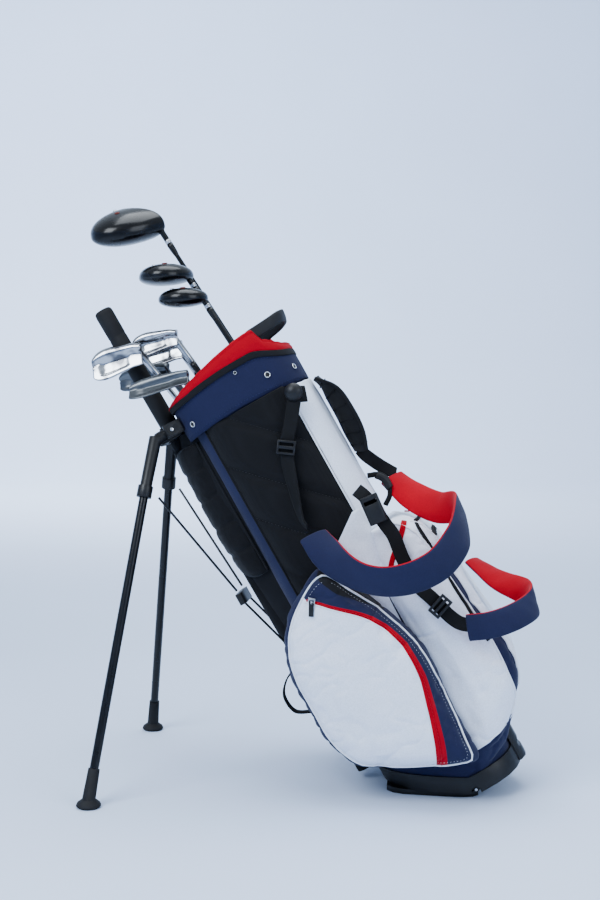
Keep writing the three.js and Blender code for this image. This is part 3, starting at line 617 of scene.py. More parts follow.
def studio():
    """A pale floor that curves up into a round wall, so that every side has the same backdrop."""
    flat, bend, height, around = 7.0, 4.0, 4.9, 120
    profile = [(0.001, 0.0), (1.5, 0.0), (flat, 0.0)]
    for a in [math.pi / 2 * i / 20 for i in range(1, 21)]:
        profile.append((flat + bend * math.sin(a), bend - bend * math.cos(a)))
    profile.append((flat + bend, height))
    rings = [[Vector((r * math.cos(a), r * math.sin(a), z)) for a in circle(around)] for r, z in profile]
    sweep = skin("studio_sweep", rings)
    paint = Paint("studio_paper", (0.68, 0.77, 0.93), 0.9)
    paint.speckle(0.8, 0.015)
    sweep.data.materials.append(paint.done())
    world = bpy.data.worlds.new("studio")
    world.use_nodes = True
    background = world.node_tree.nodes["Background"]
    background.inputs["Color"].default_value = (0.74, 0.85, 1.0, 1)
    background.inputs["Strength"].default_value = 0.72
    bpy.context.scene.world = world
    bpy.context.scene.view_settings.look = "AgX - Medium High Contrast"
    for name, place, target, size, power in [
        ("key", (-1.9, -2.3, 2.7), (-0.2, 0, 0.6), 1.8, 74),
        ("fill", (2.3, -2.0, 1.9), (-0.1, 0, 0.5), 2.0, 32),
        ("top", (-0.2, 0.4, 3.3), (-0.2, 0.2, 0.4), 2.2, 58),
        ("backdrop", (-2.2, 4.6, 4.6), (-2.6, 10.0, 0.3), 3.2, 430),
    ]:
        data = bpy.data.lights.new(name, "AREA")
        data.size = size
        data.energy = power
        data.color = (0.90, 0.95, 1.0)
        lamp = bpy.data.objects.new(name, data)
        aim = (Vector(target) - Vector(place)).to_track_quat("-Z", "Y")
        lamp.matrix_world = Matrix.Translation(place) @ aim.to_matrix().to_4x4()
        bpy.context.scene.collection.objects.link(lamp)


camera()
studio()

# ------------------------------------------------------------------ surfaces and what is sewn on them
OUTLINE = [(-20, 519), (-88, 490), (-138, 448), (-164, 395), (-171, 302), (-165, 218), (-142, 166),
           (-98, 139),
           (-30, 104), (34, 77), (60, 72), (67, 110), (74, 200), (77, 300), (52, 392), (14, 468)]
LAYERS = [(110.6, 0.93), (120, 0.985), (136, 1), (156, 0.985), (172, 0.93), (183, 0.82), (190, 0.62),
          (193, 0.34)]


def slab(name, point, nu, nv, thick):
    """A thin closed sheet: point(u, v) gives (x, y, z) and an outward direction in the bag frame."""
    outer, inner = [], []
    for i in range(nv + 1):
        for j in range(nu + 1):
            p, n = point(j / nu, i / nv)
            p, n = np.array(p, float), np.array(n, float)
            outer.append(at(*p))
            inner.append(at(*(p - n * thick)))
    base = len(outer)
    w = nu + 1
    faces = []
    for i in range(nv):
        for j in range(nu):
            a, b, c, d = i * w + j, i * w + j + 1, (i + 1) * w + j + 1, (i + 1) * w + j
            faces += [(a, b, c, d), (base + d, base + c, base + b, base + a)]
    rim = [j for j in range(w)] + [i * w + nu for i in range(1, nv + 1)]
    rim += [nv * w + j for j in range(nu - 1, -1, -1)] + [i * w for i in range(nv - 1, 0, -1)]
    for a, b in zip(rim, rim[1:] + rim[:1]):
        faces.append((a, base + a, base + b, b))
    return new_object(name, outer + inner, faces)


def side_of_body(x, grow=0.0, side=-1):
    """The y and the outward direction of the body's side wall at x."""
    u = (x - SHELL["centre"]) / (SHELL["half_x"] + grow)
    u = min(max(u, -0.9995), 0.9995)
    v = (1 - abs(u) ** POWER) ** (1 / POWER)
    y = side * (SHELL["half_y"] + grow) * v
    gx = abs(u) ** (POWER - 1) * math.copysign(1, u) / SHELL["half_x"]
    gy = v ** (POWER - 1) * side / SHELL["half_y"]
    size = math.hypot(gx, gy)
    return y, (gx / size, gy / size, 0.0)


def distance_inside(points, polygon):
    """How far inside a polygon each (x, z) point lies, negative outside."""
    polygon = np.array(polygon, float)
    best = np.full(len(points), 1e9)
    inside = np.zeros(len(points), bool)
    for a, b in zip(polygon, np.roll(polygon, -1, axis=0)):
        edge = b - a
        t = np.clip(((points - a) @ edge) / max(edge @ edge, 1e-9), 0, 1)
        best = np.minimum(best, np.linalg.norm(points - (a + t[:, None] * edge), axis=1))
        crosses = (a[1] > points[:, 1]) != (b[1] > points[:, 1])
        rise = np.where(abs(b[1] - a[1]) < 1e-9, 1e-9, b[1] - a[1])
        inside ^= crosses & (points[:, 0] < (b[0] - a[0]) * (points[:, 1] - a[1]) / rise + a[0])
    return np.where(inside, best, -best)


def distance_to(points, line):
    best = np.full(len(points), 1e9)
    line = np.array(line, float)
    for a, b in zip(line, line[1:]):
        edge = b - a
        t = np.clip(((points - a) @ edge) / max(edge @ edge, 1e-9), 0, 1)
        best = np.minimum(best, np.linalg.norm(points - (a + t[:, None] * edge), axis=1))
    return best


def on_surface(obj, line, start, heading, lift=0.0):
    """Drops points of the bag frame on to obj: start is added to each, and it travels along heading."""
    tree = BVHTree.FromObject(obj, bpy.context.evaluated_depsgraph_get())
    direction = bag_axis(*heading)
    found = []
    for p in line:
        origin = at(*(np.array(p) + np.array(start)))
        hit, normal, _, _ = tree.ray_cast(origin, direction)
        if hit is not None:
            if normal.dot(direction) > 0:
                normal = -normal
            found.append((hit + normal * lift * MM, normal))
    return [p for p, _ in found], [n for _, n in found]


def sewn(make, name, obj, line, ray, lift, *details, **more):
    """Drops line on to obj along ray and makes piping, stitches or a flat tape of it."""
    points, normals = on_surface(obj, line, *ray, lift)
    along = (points,) if make is piping else (points, normals)
    make(name, *along, *details, **more)


def from_side(side):
    """The start and heading of a ray that falls on the bag from one side."""
    return (0, side * 300, 0), (0, -side, 0)


def from_strap_side(reach):
    return (reach, 0, 0), (-1, 0, 0)


def upright(pairs):
    """Points of the bag frame from (x, z) pairs."""
    return [(x, 0, z) for x, z in pairs]


def scaled(points, factor):
    middle = np.mean(points, axis=0)
    return middle + (np.array(points) - middle) * factor


def turned_axis(a, b):
    """A matrix whose z axis runs from world point a towards b."""
    a, b = Vector(a), Vector(b)
    return Matrix.Translation(a) @ (b - a).to_track_quat("Z", "Y").to_matrix().to_4x4()


# ------------------------------------------------------------------ the bag's body
def shell_low(x):
    return max(41.5, 28.8 - 0.589 * x)


def body_skin():
    around, outer_rings, inner_rings, floor = 128, 90, 14, 3
    wall, top = SHELL["wall"], SHELL["top"]
    rings = []
    for inset, low, high, steps in ((0, 0, top, np.linspace(0, 1, outer_rings)),
                                    (wall, floor, top - floor, np.linspace(1, 0, inner_rings))):
        outline = rounded(SHELL["half_x"] - inset, SHELL["half_y"] - inset, POWER, around, SHELL["centre"])
        rings += [[at(x, y, shell_low(x) + low + (high - shell_low(x)) * t) for x, y in outline]
                  for t in steps]
    obj = skin("body_skin", rings, capped=True)
    attribute(obj, "inside", [-5.0] * (around * outer_rings) + [5.0] * (around * inner_rings))
    finish(obj, fabric("body_fabric", NAVY, 1.3, [("inside", BLACK)], dirt=0.1))
    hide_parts("bag_shell")


QUILT = (794, 670, 560, 448)  # x + z of the seams that slant across a mesh panel
PANEL_FRONT, PANEL_BACK = -91, 86


def mesh_panel(side, place):
    def point(u, v):
        x = PANEL_FRONT + (PANEL_BACK - PANEL_FRONT) * u
        z = 300 + 536 * v
        y, n = side_of_body(x, 1.1, side)
        edge = min(x - PANEL_FRONT, PANEL_BACK - x, 30) / 30
        near = min(abs(x + z - q) / math.sqrt(2) for q in QUILT)
        crown = 4.6 * math.sin(math.pi / 2 * min(1, near / 22)) * math.sin(math.pi / 2 * min(1, edge))
        return (x + n[0] * crown, y + n[1] * crown, z), n

    obj = slab(f"mesh_panel_{place}", point, 92, 230, 1.0)
    wrinkle(obj, 0.7, 90, 3.0 * side)
    finish(obj, "mesh")
    for k, q in enumerate(QUILT[:3]):
        line = upright((x, q - x) for x in np.linspace(-89, 84, 80) if 330 < q - x < 833)
        sewn(stitches, f"panel_stitch_{place}_{k}", obj, line, from_side(side), 0.2, "plastic", 4.0, 2.4, 0.5)
    for k, x in enumerate((PANEL_FRONT, PANEL_BACK)):
        y, n = side_of_body(x, 1.6, side)
        piping(f"panel_binding_{place}_{k}", [at(x, y, z) for z in np.linspace(300, 834, 60)], 2.2, "black")


def foot_patch(side, place):
    """White cloth that widens below the strap-side strip and runs down behind the side pocket."""
    def point(u, v):
        z = 330 + 242 * v
        left = max(19 + (z - 532) * 1.4, -30) if z > 500 else -30
        x = left + (88 - left) * u
        y, n = side_of_body(x, 7.0 + 3 * u, side)
        return (x, y, z), n

    obj = slab(f"foot_patch_{place}", point, 40, 66, 2.0)
    wrinkle(obj, 1.2, 45, 9.0)
    finish(obj, "white")


def cuff(name, centre, half_x, half_y, thick, bottom, top, bulge, steps=160):
    """A ring that stands on the body with rounded, padded walls."""
    outer = rounded(half_x, half_y, POWER, steps, centre)
    inner = rounded(half_x - thick, half_y - thick, POWER, steps, centre)
    rings = []
    for (x, y), (u, v) in zip(outer, inner):
        low, high = bottom(x), top(x)
        soft = min(5.0, thick * 0.45)
        out = np.array([x - u, y - v]) / thick
        ring = []
        for t in np.linspace(0, 1, 9):
            swell = bulge * (math.sin(math.pi * t) ** 0.6 - 1)
            p = np.array([x, y]) + out * swell
            ring.append(at(p[0], p[1], low + (high - soft - low) * t))
        for a in np.linspace(0.15, 0.85, 6) * math.pi:
            w = (1 - math.cos(a)) / 2
            p = np.array([x, y]) * (1 - w) + np.array([u, v]) * w
            ring.append(at(p[0], p[1], high - soft + soft * math.sin(a)))
        for t in np.linspace(1, 0, 7):
            p = np.array([u, v]) + out * bulge * 0.6 * (math.sin(math.pi * t) ** 0.6 - 1)
            ring.append(at(p[0], p[1], low + (high - soft - low) * t))
        rings.append(ring)
    return skin(name, rings, ringed=True)


def band_top(x):
    return 897 + 12 * ramp(x, -150, 10) - 24 * ramp(x, 50, 122)


def band_dip(x):
    """How far the band's lower edge stands above its lowest height."""
    return 9 * math.sin(math.pi * ramp(x, -170, 150))


def on_band(x, grow=0.0):
    """How far across the band's wall lies at x, as u along its length and v across its width."""
    u = (x - BAND["centre"]) / (BAND["half_x"] + grow)
    return u, max(0, 1 - abs(u) ** POWER) ** (1 / POWER)


def rim(x):
    left = max(0.0, (80 - min(x, 80)) / 225)
    return 956 - 50 * left**1.45 - 26 * ramp(x, 76, 86) - 20 * ramp(x, 86, 117)


GROMMETS = [(-105, 857, 1), (63, 867, 1), (109, 859, 1), (14, 899, 0.6)]  # x, z and size


def collar():
    band = cuff("collar_band_cloth", BAND["centre"], BAND["half_x"], BAND["half_y"], 2.8,
                lambda x: BAND["bottom"] - 4 + band_dip(x), band_top, 0.5)
    wrinkle(band, 0.5, 60, 4.0)
    finish(band, "navy")
    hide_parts("collar_band")
    pad = cuff("collar_padding", COLLAR["centre"], COLLAR["half_x"], COLLAR["half_y"], COLLAR["thick"],
               lambda x: max(band_top(x) + 7.5, 866.6), rim, 1.6)
    wrinkle(pad, 0.9, 40, 6.0)
    finish(pad, "red")
    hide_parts("collar_pad")
    binding = cuff("collar_binding", COLLAR["centre"] + 1.2, COLLAR["half_x"] - 0.4, COLLAR["half_y"] - 0.4,
                   4.0,
                   lambda x: max(band_top(x) - 3.0, 862), lambda x: max(band_top(x) + 9.5, 870), 0.4)
    finish(binding, "black")
    rows = (("band_stitch_low", lambda x: BAND["bottom"] + 3 + band_dip(x)),
            ("band_stitch_top", lambda x: band_top(x) - 6.0))
    for name, height in rows:
        for side, place in SIDES:
            line = [at(x, side * (BAND["half_y"] + 0.5) * on_band(x, 0.5)[1], height(x))
                    for x in np.linspace(-128, 104, 140)]
            stitches(f"{name}_{place}", line, bag_axis(0, side, 0), "dark_thread")
    for k, (x, z, size) in enumerate(GROMMETS):
        for side, place in SIDES:
            u, v = on_band(x)
            n = Vector((abs(u) ** 1.8 * math.copysign(1, u) / BAND["half_x"], v**1.8 * side / BAND["half_y"],
                        0)).normalized()
            p = at(x + n.x * 0.6, side * BAND["half_y"] * v + n.y * 0.6, z)
            seat = turned_axis(p, p + bag_axis(*n))
            ring = [(6.2, -0.4), (6.1, 0.6), (5.5, 1.3), (4.6, 1.4), (3.9, 0.9), (3.6, -0.4)]
            finish(lathe(f"grommet_{k}_{place}", [(r * size, h) for r, h in ring], seat, 32), "steel")
            # a flat black disc fills each grommet's hole: painted shade standing in for the dark seen through the hole
            hole = [(4.2 * size, -0.5), (4.1 * size, 0.5), (0.02, 0.55)]
            finish(lathe(f"grommet_hole_{k}_{place}", hole, seat, 24), "plastic")


def lift_handle():
    half = [(66, 81), (86, 72), (112, 56), (128, 32)]
    loop = [(x, -y) for x, y in half] + [(133, 0)] + half[::-1]
    stops = [(x, y, 947 + 11 * math.cos(math.pi * y / 160), 0.2, 0, 1) for x, y in loop]
    obj = strap("lift_handle_grip", stops, band_section(21.6, 6.0, 1.0, 10), 72)
    finish(obj, "handle")
    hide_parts("lift_handle")


def pocket_form(name):
    points = curve(OUTLINE, 110, closed=True)
    rings = []
    for t in np.linspace(0, 1, 26):
        depth, scale = catmull(stops_of(LAYERS), t)
        rings.append([at(x, -depth, z) for x, z in scaled(points, scale)])
    return skin(name, rings, capped=True)


RED_LINE = [(-66, 478), (-33, 449), (20, 397), (47, 337), (51, 273), (39, 215), (17, 140), (-7, 88)]
WEDGE = [(-33, 504), (-24, 512), (17, 474), (58, 425), (90, 378), (96, 334), (78, 334), (59, 378), (26, 419),
         (-11, 462)]


def red_polygon():
    """The side pocket's zip line, the outline of the red stripe along it and the stripe's inner edge."""
    line = curve(RED_LINE, 60)
    along = np.gradient(line, axis=0)
    across = np.stack([-along[:, 1], along[:, 0]], axis=1) / np.linalg.norm(along, axis=1, keepdims=True)
    width = np.interp(np.linspace(0, 1, 60), [0, 0.5, 1], [3.0, 5.5, 11.0])[:, None]
    inner = line - across * width
    return line, np.concatenate([line + across * width, inner[::-1]]), inner


def side_pockets():
    obj = pocket_form("side_pocket_cloth_near")
    stuffed(obj, 5.0, 4.0, 6.0)
    subdivide(obj)
    line, band, inner = red_polygon()
    outline = scaled(curve(OUTLINE, 110, closed=True), 0.925)
    outline[:, 0] += [7 * ramp(-x, 60, 150) for x in outline[:, 0]]
    p = bag_coordinates(obj)
    seam = distance_to(p[:, [0, 2]], np.concatenate([outline, outline[:1]]))
    normals = normals_of(obj)
    dip = -1.3 * np.exp(-(seam / 4.0) ** 2) * (p[:, 1] < -140)
    shift_vertices(obj, normals * (dip * MM)[:, None])
    wrinkle(obj, 3.4, 75, 2.0, (1.0, 1.0, 0.6))
    wrinkle(obj, 3.0, 120, 31.0, (0.8, 0.5, 1.3), True)
    p = bag_coordinates(obj)
    xz = p[:, [0, 2]]
    navy = list(map(tuple, line)) + [(10, 30), (150, 40), (150, 420), (10, 580), (-90, 530)]
    attribute(obj, "navy", distance_inside(xz, navy))
    attribute(obj, "red", distance_inside(xz, band))
    attribute(obj, "wall", -distance_inside(xz, outline))
    attribute(obj, "wedge", distance_inside(xz, WEDGE))
    look = fabric("side_pocket_fabric", WHITE, 1.4,
                  [("navy", NAVY), ("red", RED), ("wall", NAVY), ("wedge", BLACK)], dirt=0.03, weave=0.35)
    mesh = obj.data.copy()
    far = bpy.data.objects.new("side_pocket_cloth_far", mesh)
    bpy.context.scene.collection.objects.link(far)
    flip = BAG @ Matrix.Diagonal((1, -1, 1, 1)) @ BAG_INVERSE
    mesh.transform(flip)
    mesh.flip_normals()
    for piece, (side, place) in zip((obj, far), SIDES):
        finish(piece, look)
        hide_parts(f"side_pocket_{place}")
        ray = from_side(side)
        shifted = [(x + 26 + (400 - z) * 0.03, z + 8) for x, z in line[6:-4]]
        sewn(piping, f"pocket_piping_{place}", piece, upright(outline), ray, 0.8, 2.0, "piping", closed=True)
        sewn(stitches, f"pocket_stitch_{place}", piece, upright(scaled(outline, 0.955)), ray, 0.2, "thread")
        sewn(piping, f"zip_piping_{place}", piece, upright(inner), ray, 0.5, 1.3, "piping")
        sewn(stitches, f"zip_teeth_{place}", piece, upright(line), ray, 0.6, "red_teeth", 1.5, 1.0, 0.9)
        sewn(stitches, f"stripe_stitch_{place}", piece, upright(shifted), ray, 0.2, "dark_thread")


def ball_pocket():
    rear = [(38, 54), (49, 88), (105, 144), (148, 182), (177, 199), (250, 198), (313, 192), (392, 186),
            (470, 178),
            (505, 158), (528, 128)]
    rings = []
    for z, reach in curve(rear, 40):
        width = 131 - 22 * ramp(z, 440, 530) - 26 * (1 - ramp(z, 38, 110))
        start = np.interp(z, [38, 90, 250, 400, 450, 530], [10, 20, 36, 44, 60, 82])
        half = (max(reach, start + 12) - start) / 2
        rings.append([at(x, y, z) for x, y in rounded(half, width * 0.985, 5, 96, start + half)])
    obj = skin("ball_pocket_cloth", rings, capped=True)
    stuffed(obj, 5.5, 4.0, 6.0)
    subdivide(obj)
    p = bag_coordinates(obj)
    edge = rear_edge()
    polygon = [(60, 30), *edge, (60, 560)]
    inset = distance_inside(p[:, [0, 2]], polygon)
    normals = normals_of(obj)
    dip = -1.2 * np.exp(-((abs(p[:, 1]) - 92) / 3.5) ** 2) * (p[:,
                                                                0] > 150) - 1.0 * np.exp(-(inset / 4.0) ** 2)
    shift_vertices(obj, normals * (dip * MM)[:, None])
    wrinkle(obj, 3.6, 80, 11.0, (1.0, 1.0, 0.55))
    wrinkle(obj, 3.0, 130, 37.0, (0.7, 0.7, 1.4), True)
    p = bag_coordinates(obj)
    inset = distance_inside(p[:, [0, 2]], polygon)
    gusset = np.minimum(-inset, abs(p[:, 1]) - 88)
    low = np.interp(p[:, 0], [30, 44, 90, 136, 250], [80, 83, 88, 99, 112]) - p[:, 2]
    attribute(obj, "gusset", np.minimum(gusset, 425 - p[:, 2]))
    attribute(obj, "low", low)
    look = fabric("ball_pocket_fabric", WHITE, 1.4, [("gusset", NAVY), ("low", NAVY)], dirt=0.03, weave=0.35)
    finish(obj, look)
    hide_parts("ball_pocket")
    zip_line = curve([(160, 524), (134, 493), (95, 458), (70, 420)], 40)
    rear_line = curve([(166, 500), (170, 447), (172, 353), (178, 250)], 60)
    seam = curve([(85, 400), (104, 300), (108, 200), (92, 96)], 60)
    low_edge = [(44, 86), (66, 88), (90, 91), (114, 96), (130, 100)]
    for side, place in SIDES:
        ray = from_side(side)
        sewn(piping, f"ball_piping_{place}", obj, upright((x - 1, z) for x, z in edge if z > 108), ray, 0.8,
             2.0, "piping")
        sewn(flat_tape, f"ball_zip_{place}", obj, upright(zip_line), ray, 1.6, 10.0, "red", 1.6)
        sewn(stitches, f"ball_zip_teeth_{place}", obj, upright(zip_line), ray, 1.6, "plastic", 1.5, 1.1, 0.9)
        sewn(flat_tape, f"rear_zip_{place}", obj, upright(rear_line), ray, 1.4, 7.0, "black", 1.4)
        sewn(stitches, f"rear_zip_teeth_{place}", obj, upright(rear_line), ray, 1.4, "plastic", 1.5, 1.1, 0.8)
        sewn(stitches, f"gusset_stitch_{place}", obj, upright(seam), ray, 0.2, "thread")
        sewn(piping, f"low_piping_{place}", obj, upright(low_edge), ray, 0.6, 1.8, "piping")
    ray = from_strap_side(400)
    for side, place in SIDES:
        line = [(0, side * 88, z) for z in np.linspace(150, 505, 60)]
        sewn(piping, f"rear_piping_{place}", obj, line, ray, 0.6, 1.9, "piping")
    line = [(0, y, 462) for y in np.linspace(-80, 80, 50)]
    sewn(flat_tape, "ball_top_zip", obj, line, ray, 0.4, 12.0, "black")
    sewn(stitches, "ball_top_teeth", obj, line, ray, 0.4, "plastic", 1.5, 1.1, 0.9)


def rear_edge():
    """The seam between the ball pocket's white side and its gusset."""
    return curve([(60, 44), (88, 52), (136, 99), (172, 138), (182, 190), (184, 250), (178, 330), (172, 400),
                  (164, 470), (146, 505), (118, 524)], 90)


def flat_tape(name, points, normals, width, look, thick=0.9):
    rings = []
    count = len(points)
    for i, (p, n) in enumerate(zip(points, normals)):
        along = (points[min(i + 1, count - 1)] - points[max(i - 1, 0)]).normalized()
        side = along.cross(n).normalized()
        half, rise = width / 2 * MM, thick * MM
        rings.append([p - side * half - n * rise, p - side * half, p - side * half * 0.85 + n * rise * 0.6,
                      p + side * half * 0.85 + n * rise * 0.6, p + side * half, p + side * half - n * rise])
    finish(skin(name, rings, capped=True), look)


def back_strip():
    """The white panel that runs up the strap side between the mesh panels."""
    outline = rounded(SHELL["half_x"], SHELL["half_y"], POWER, 400, SHELL["centre"])
    columns = 70
    arc = curve(sorted((p for p in outline if p[0] > 77.5), key=lambda p: p[1]), columns)

    def point(u, v):
        x, y = arc[round(u * (columns - 1))]
        z = 524 + 304 * v
        _, n = side_of_body(x, 0, math.copysign(1, y))
        if abs(y) < 30:
            n = (math.cos(y / 60), math.sin(y / 60), 0)
        edge = min(u, 1 - u) * (columns - 1) * 2.9
        rise = 3.5 + 4.5 * math.sin(math.pi / 2 * min(1, edge / 24)) * (1 - 0.4 * (2 * v - 1) ** 8)
        return (x + n[0] * rise, y + n[1] * rise, z), n

    obj = slab("back_panel_cloth", point, columns - 1, 110, 3.0)
    wrinkle(obj, 1.6, 60, 15.0, (1, 1, 0.5))
    finish(obj, "white")
    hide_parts("back_pocket")
    for side, place in SIDES:
        y, n = side_of_body(78.5, 4.2, side)
        line = [at(78.5 + n[0] * 0.3, y, z) for z in np.linspace(527, 827, 70)]
        piping(f"back_piping_{place}", line, 1.7, "piping")
        line = [(0, side * 40, z) for z in np.linspace(530, 824, 60)]
        sewn(stitches, f"back_stitch_{place}", obj, line, from_strap_side(300), 0.2, "thread")


def hip_pad():
    levels = [(546, 0.55), (556, 0.8), (575, 0.93), (620, 1), (700, 1.0), (760, 1), (812, 0.98), (828, 0.9)]
    rings = []
    for t in np.linspace(0, 1, 44):
        z, swell = catmull(stops_of(levels), t)
        ring = [(-118, y) for y in np.linspace(-58, 58, 18)]
        ring += [(-122 - 60 * swell * max(math.sin(a), 0) ** 0.8, 59 * math.cos(a))
                 for a in np.linspace(0, math.pi, 46)]
        rings.append([at(x, y, z) for x, y in ring])
    obj = skin("hip_pad_cloth", rings, capped=True)
    stuffed(obj, 5.0, 3.0, 4.0)
    subdivide(obj)
    p = bag_coordinates(obj)
    normals = normals_of(obj)
    rows = np.min([abs(p[:, 2] - z) for z in (606, 664, 722, 780)], axis=0)
    shift_vertices(obj, normals * (-2.6 * np.exp(-(rows / 5) ** 2) * (p[:, 0] < -126) * MM)[:, None])
    wrinkle(obj, 1.2, 40, 8.0)
    finish(obj, "mesh")
    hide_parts("hip_pad")
    for side, place in SIDES:
        line = [at(-122, side * 60, z) for z in np.linspace(550, 826, 60)]
        piping(f"hip_piping_{place}", line, 2.6, "black")


def grab_loop():
    stops = [(-156, -98, 372, 0, 1, 0), (-186, -98, 358, 0, 1, 0), (-204, -98, 334, 0, 1, 0),
             (-200, -98, 300, 0, 1, 0),
             (-172, -98, 284, 0, 1, 0)]
    obj = strap("grab_loop_web", stops, band_section(18, 2.6, 0.0, 8), 60)
    finish(obj, "webbing")
    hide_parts("grab_loop")


def umbrella_frame():
    tilt = math.radians(0.9)
    turn = Matrix.Rotation(-tilt, 4, "Y")
    shift = Vector((-0.163, 0, 0.850)) - turn @ Vector((0, 0, 0.850))
    return BAG @ Matrix.Translation(shift) @ turn


def umbrella():
    place = umbrella_frame()
    handle = lathe("umbrella_grip", [(0.02, 872), (16, 872), (17.4, 875), (17.5, 900), (17.5, 1078),
                                     (16.9, 1080), (16.9, 1083),
                                     (17.5, 1085), (17.9, 1130), (17.2, 1137), (14.5, 1140), (6, 1141),
                                     (0.02, 1141)], place, 48)
    finish(handle, "rubber", "umbrella")
    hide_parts("umbrella_handle")
    canopy = lathe("umbrella_wrap", [(0.02, 150), (6, 150), (11.9, 270), (15.5, 380), (17, 480), (16.6, 600),
                                     (17, 720), (17, 842),
                                     (14, 860), (12, 868), (12, 871.5), (0.02, 871.5)], place, 40)
    wrinkle(canopy, 0.8, 22, 5.0, (1, 1, 0.2))
    finish(canopy, "black", "umbrella")
    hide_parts("umbrella_canopy")
    tip = lathe("umbrella_spike", [(0.02, 132), (2.4, 132), (3.5, 134), (4.4, 142), (5, 149.6),
                                   (0.02, 149.6)], place, 24)
    finish(tip, "steel", "umbrella")
    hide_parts("umbrella_tip")
    sleeve = lathe("sleeve_cloth", [(0.02, 125), (20.4, 125), (20.4, 400), (20.4, 831), (20.0, 832),
                                    (19.2, 831), (19.2, 400),
                                    (19.2, 129), (0.02, 129)], place, 48)
    finish(sleeve, "black")
    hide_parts("umbrella_sleeve")


# ------------------------------------------------------------------ carry straps
NEAR_PAD = [(-3, -146, 574, .45, .75, .45), (13, -176, 515, .35, .3, .9), (54, -212, 462, .2, -.2, 1),
            (107, -228, 434, 0, -.25, 1), (170, -216, 426, -.1, -.2, 1), (222, -176, 444, 0, 0, 1),
            (245, -120, 470, .1, 0, 1), (246, -70, 484, .2, .1, 1), (212, -28, 498, .4, .5, .9),
            (178, 14, 540, .55, .6, .6), (158, 36, 588, .6, .8, .2)]
LOW_PAD = [(160, -168, 298, 0, .2, 1), (200, -176, 284, 0, .1, 1), (246, -158, 274, .1, .2, 1),
           (282, -112, 272, .2, .3, 1),
           (276, -66, 290, .4, .5, .8), (244, -30, 326, .4, .8, .5), (216, 2, 378, .2, 1, .2)]
REAR_PAD = [(130, -8, 822, 0, 1, 0), (143, -8, 784, -0.5, 0.85, 0), (146, -8, 737, -0.6, 0.8, 0),
            (143, -4, 696, -0.6, 0.8, 0), (137, -1, 660, -0.4, 0.9, 0)]


def strap_pad(name, stops, width, node, flip, steps=150):
    """A padded strap with a lining: the section's upper half is the outside, and flip swaps the two."""
    section = band_section(width, 9.0, 1.6, 14, 0.35)
    obj = strap(name, stops, section, steps, 0.45)
    lining = []
    for _ in range(steps + 1):
        for k, (u, v) in enumerate(section):
            lining.append((-v if flip else v) + (3.2 if u > width * 0.44 else 0.0) + (-1.0 if u < -width * 0.4 else 0))
    attribute(obj, "lining", lining[: len(obj.data.vertices)])
    subdivide(obj)
    finish(obj, fabric(name + "_fabric", NAVY, 1.3, [("lining", RED)], dirt=0.07))
    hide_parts(node)


def across_pad(t, width, rise):
    """A point of the rear pad: t along it, width across it and rise out of its face."""
    stops = stops_of(REAR_PAD)
    here = catmull(stops, t)
    along = catmull(stops, min(1, t + 0.01))[:3] - catmull(stops, max(0, t - 0.01))[:3]
    along /= np.linalg.norm(along)
    across = here[3:] - along * here[3:].dot(along)
    across /= np.linalg.norm(across)
    return here[:3] + across * width + np.cross(along, across) * rise


def webbing(name, stops, node, steps=80):
    obj = strap(name, stops, band_section(25, 2.4, 0.0, 12), steps, 0.12)
    finish(obj, "webbing")
    if node:
        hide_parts(node)


def straps():
    strap_pad("near_pad", NEAR_PAD, 60, "strap_pad_near", True)
    strap_pad("low_pad", LOW_PAD, 48, "strap_pad_low", True, 110)
    section = band_section(60, 9.0, 2.0, 14, 0.35)
    rear = strap("rear_pad", REAR_PAD, section, 120)
    finish(rear, "mesh")
    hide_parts("strap_pad_rear")
    for side, place in SIDES:
        edge = [at(*across_pad(t, side * 30, 0)) for t in np.linspace(0, 1, 60)]
        piping(f"rear_pad_binding_{place}", edge, 3.2, "black" if side < 0 else "navy")
    for k in range(6):
        for face in (-1, 1):
            row = [at(*across_pad(0.1 + 0.16 * k, w, face * 5.6)) for w in np.linspace(-25, 25, 14)]
            piping(f"rear_pad_rib_{k}_{'out' if face > 0 else 'in'}", row, 1.2, "black")
    webbing("front_web", [(88, -116, 806, 1, 0, -.5), (58, -118, 768, 1, 0, -.5), (30, -117, 734, 1, 0, -.5),
                          (4, -122, 660, .75, -.6, -.2), (-8, -133, 605, .4, -.9, -.1),
                          (-5, -142, 588, .3, -.95, 0)], "web_front")
    webbing("rear_web", [(136, 2, 664, .85, .45, .2), (138, 4, 652, .85, .45, .2),
                         (144, 12, 636, .85, .45, .2),
                         (152, 24, 618, .8, .5, .3), (161, 35, 602, .7, .6, .4), (170, 43, 588, .6, .7, .4)],
                         "web_rear", 50)
    webbing("buckle_web", [(104, -118, 604, 1, 0, .2), (112, -132, 588, 1, 0, .2), (117, -140, 566, 1, 0, .1),
                           (120, -143, 540, 1, 0, .1)], None, 30)
    webbing("tail_web", [(120, -143, 540, 1, 0, .1), (121, -143, 528, 1, 0, .1), (124, -143, 503, 1, 0, 0),
                         (118, -141, 455, 1, 0, -.1),
                         (119, -143, 400, 1, 0, .2), (130, -146, 368, 1, 0, .3), (141, -150, 330, 1, 0, .3),
                         (152, -158, 310, 1, 0, .4), (166, -167, 300, .6, 0, .8)], "web_tail", 110)


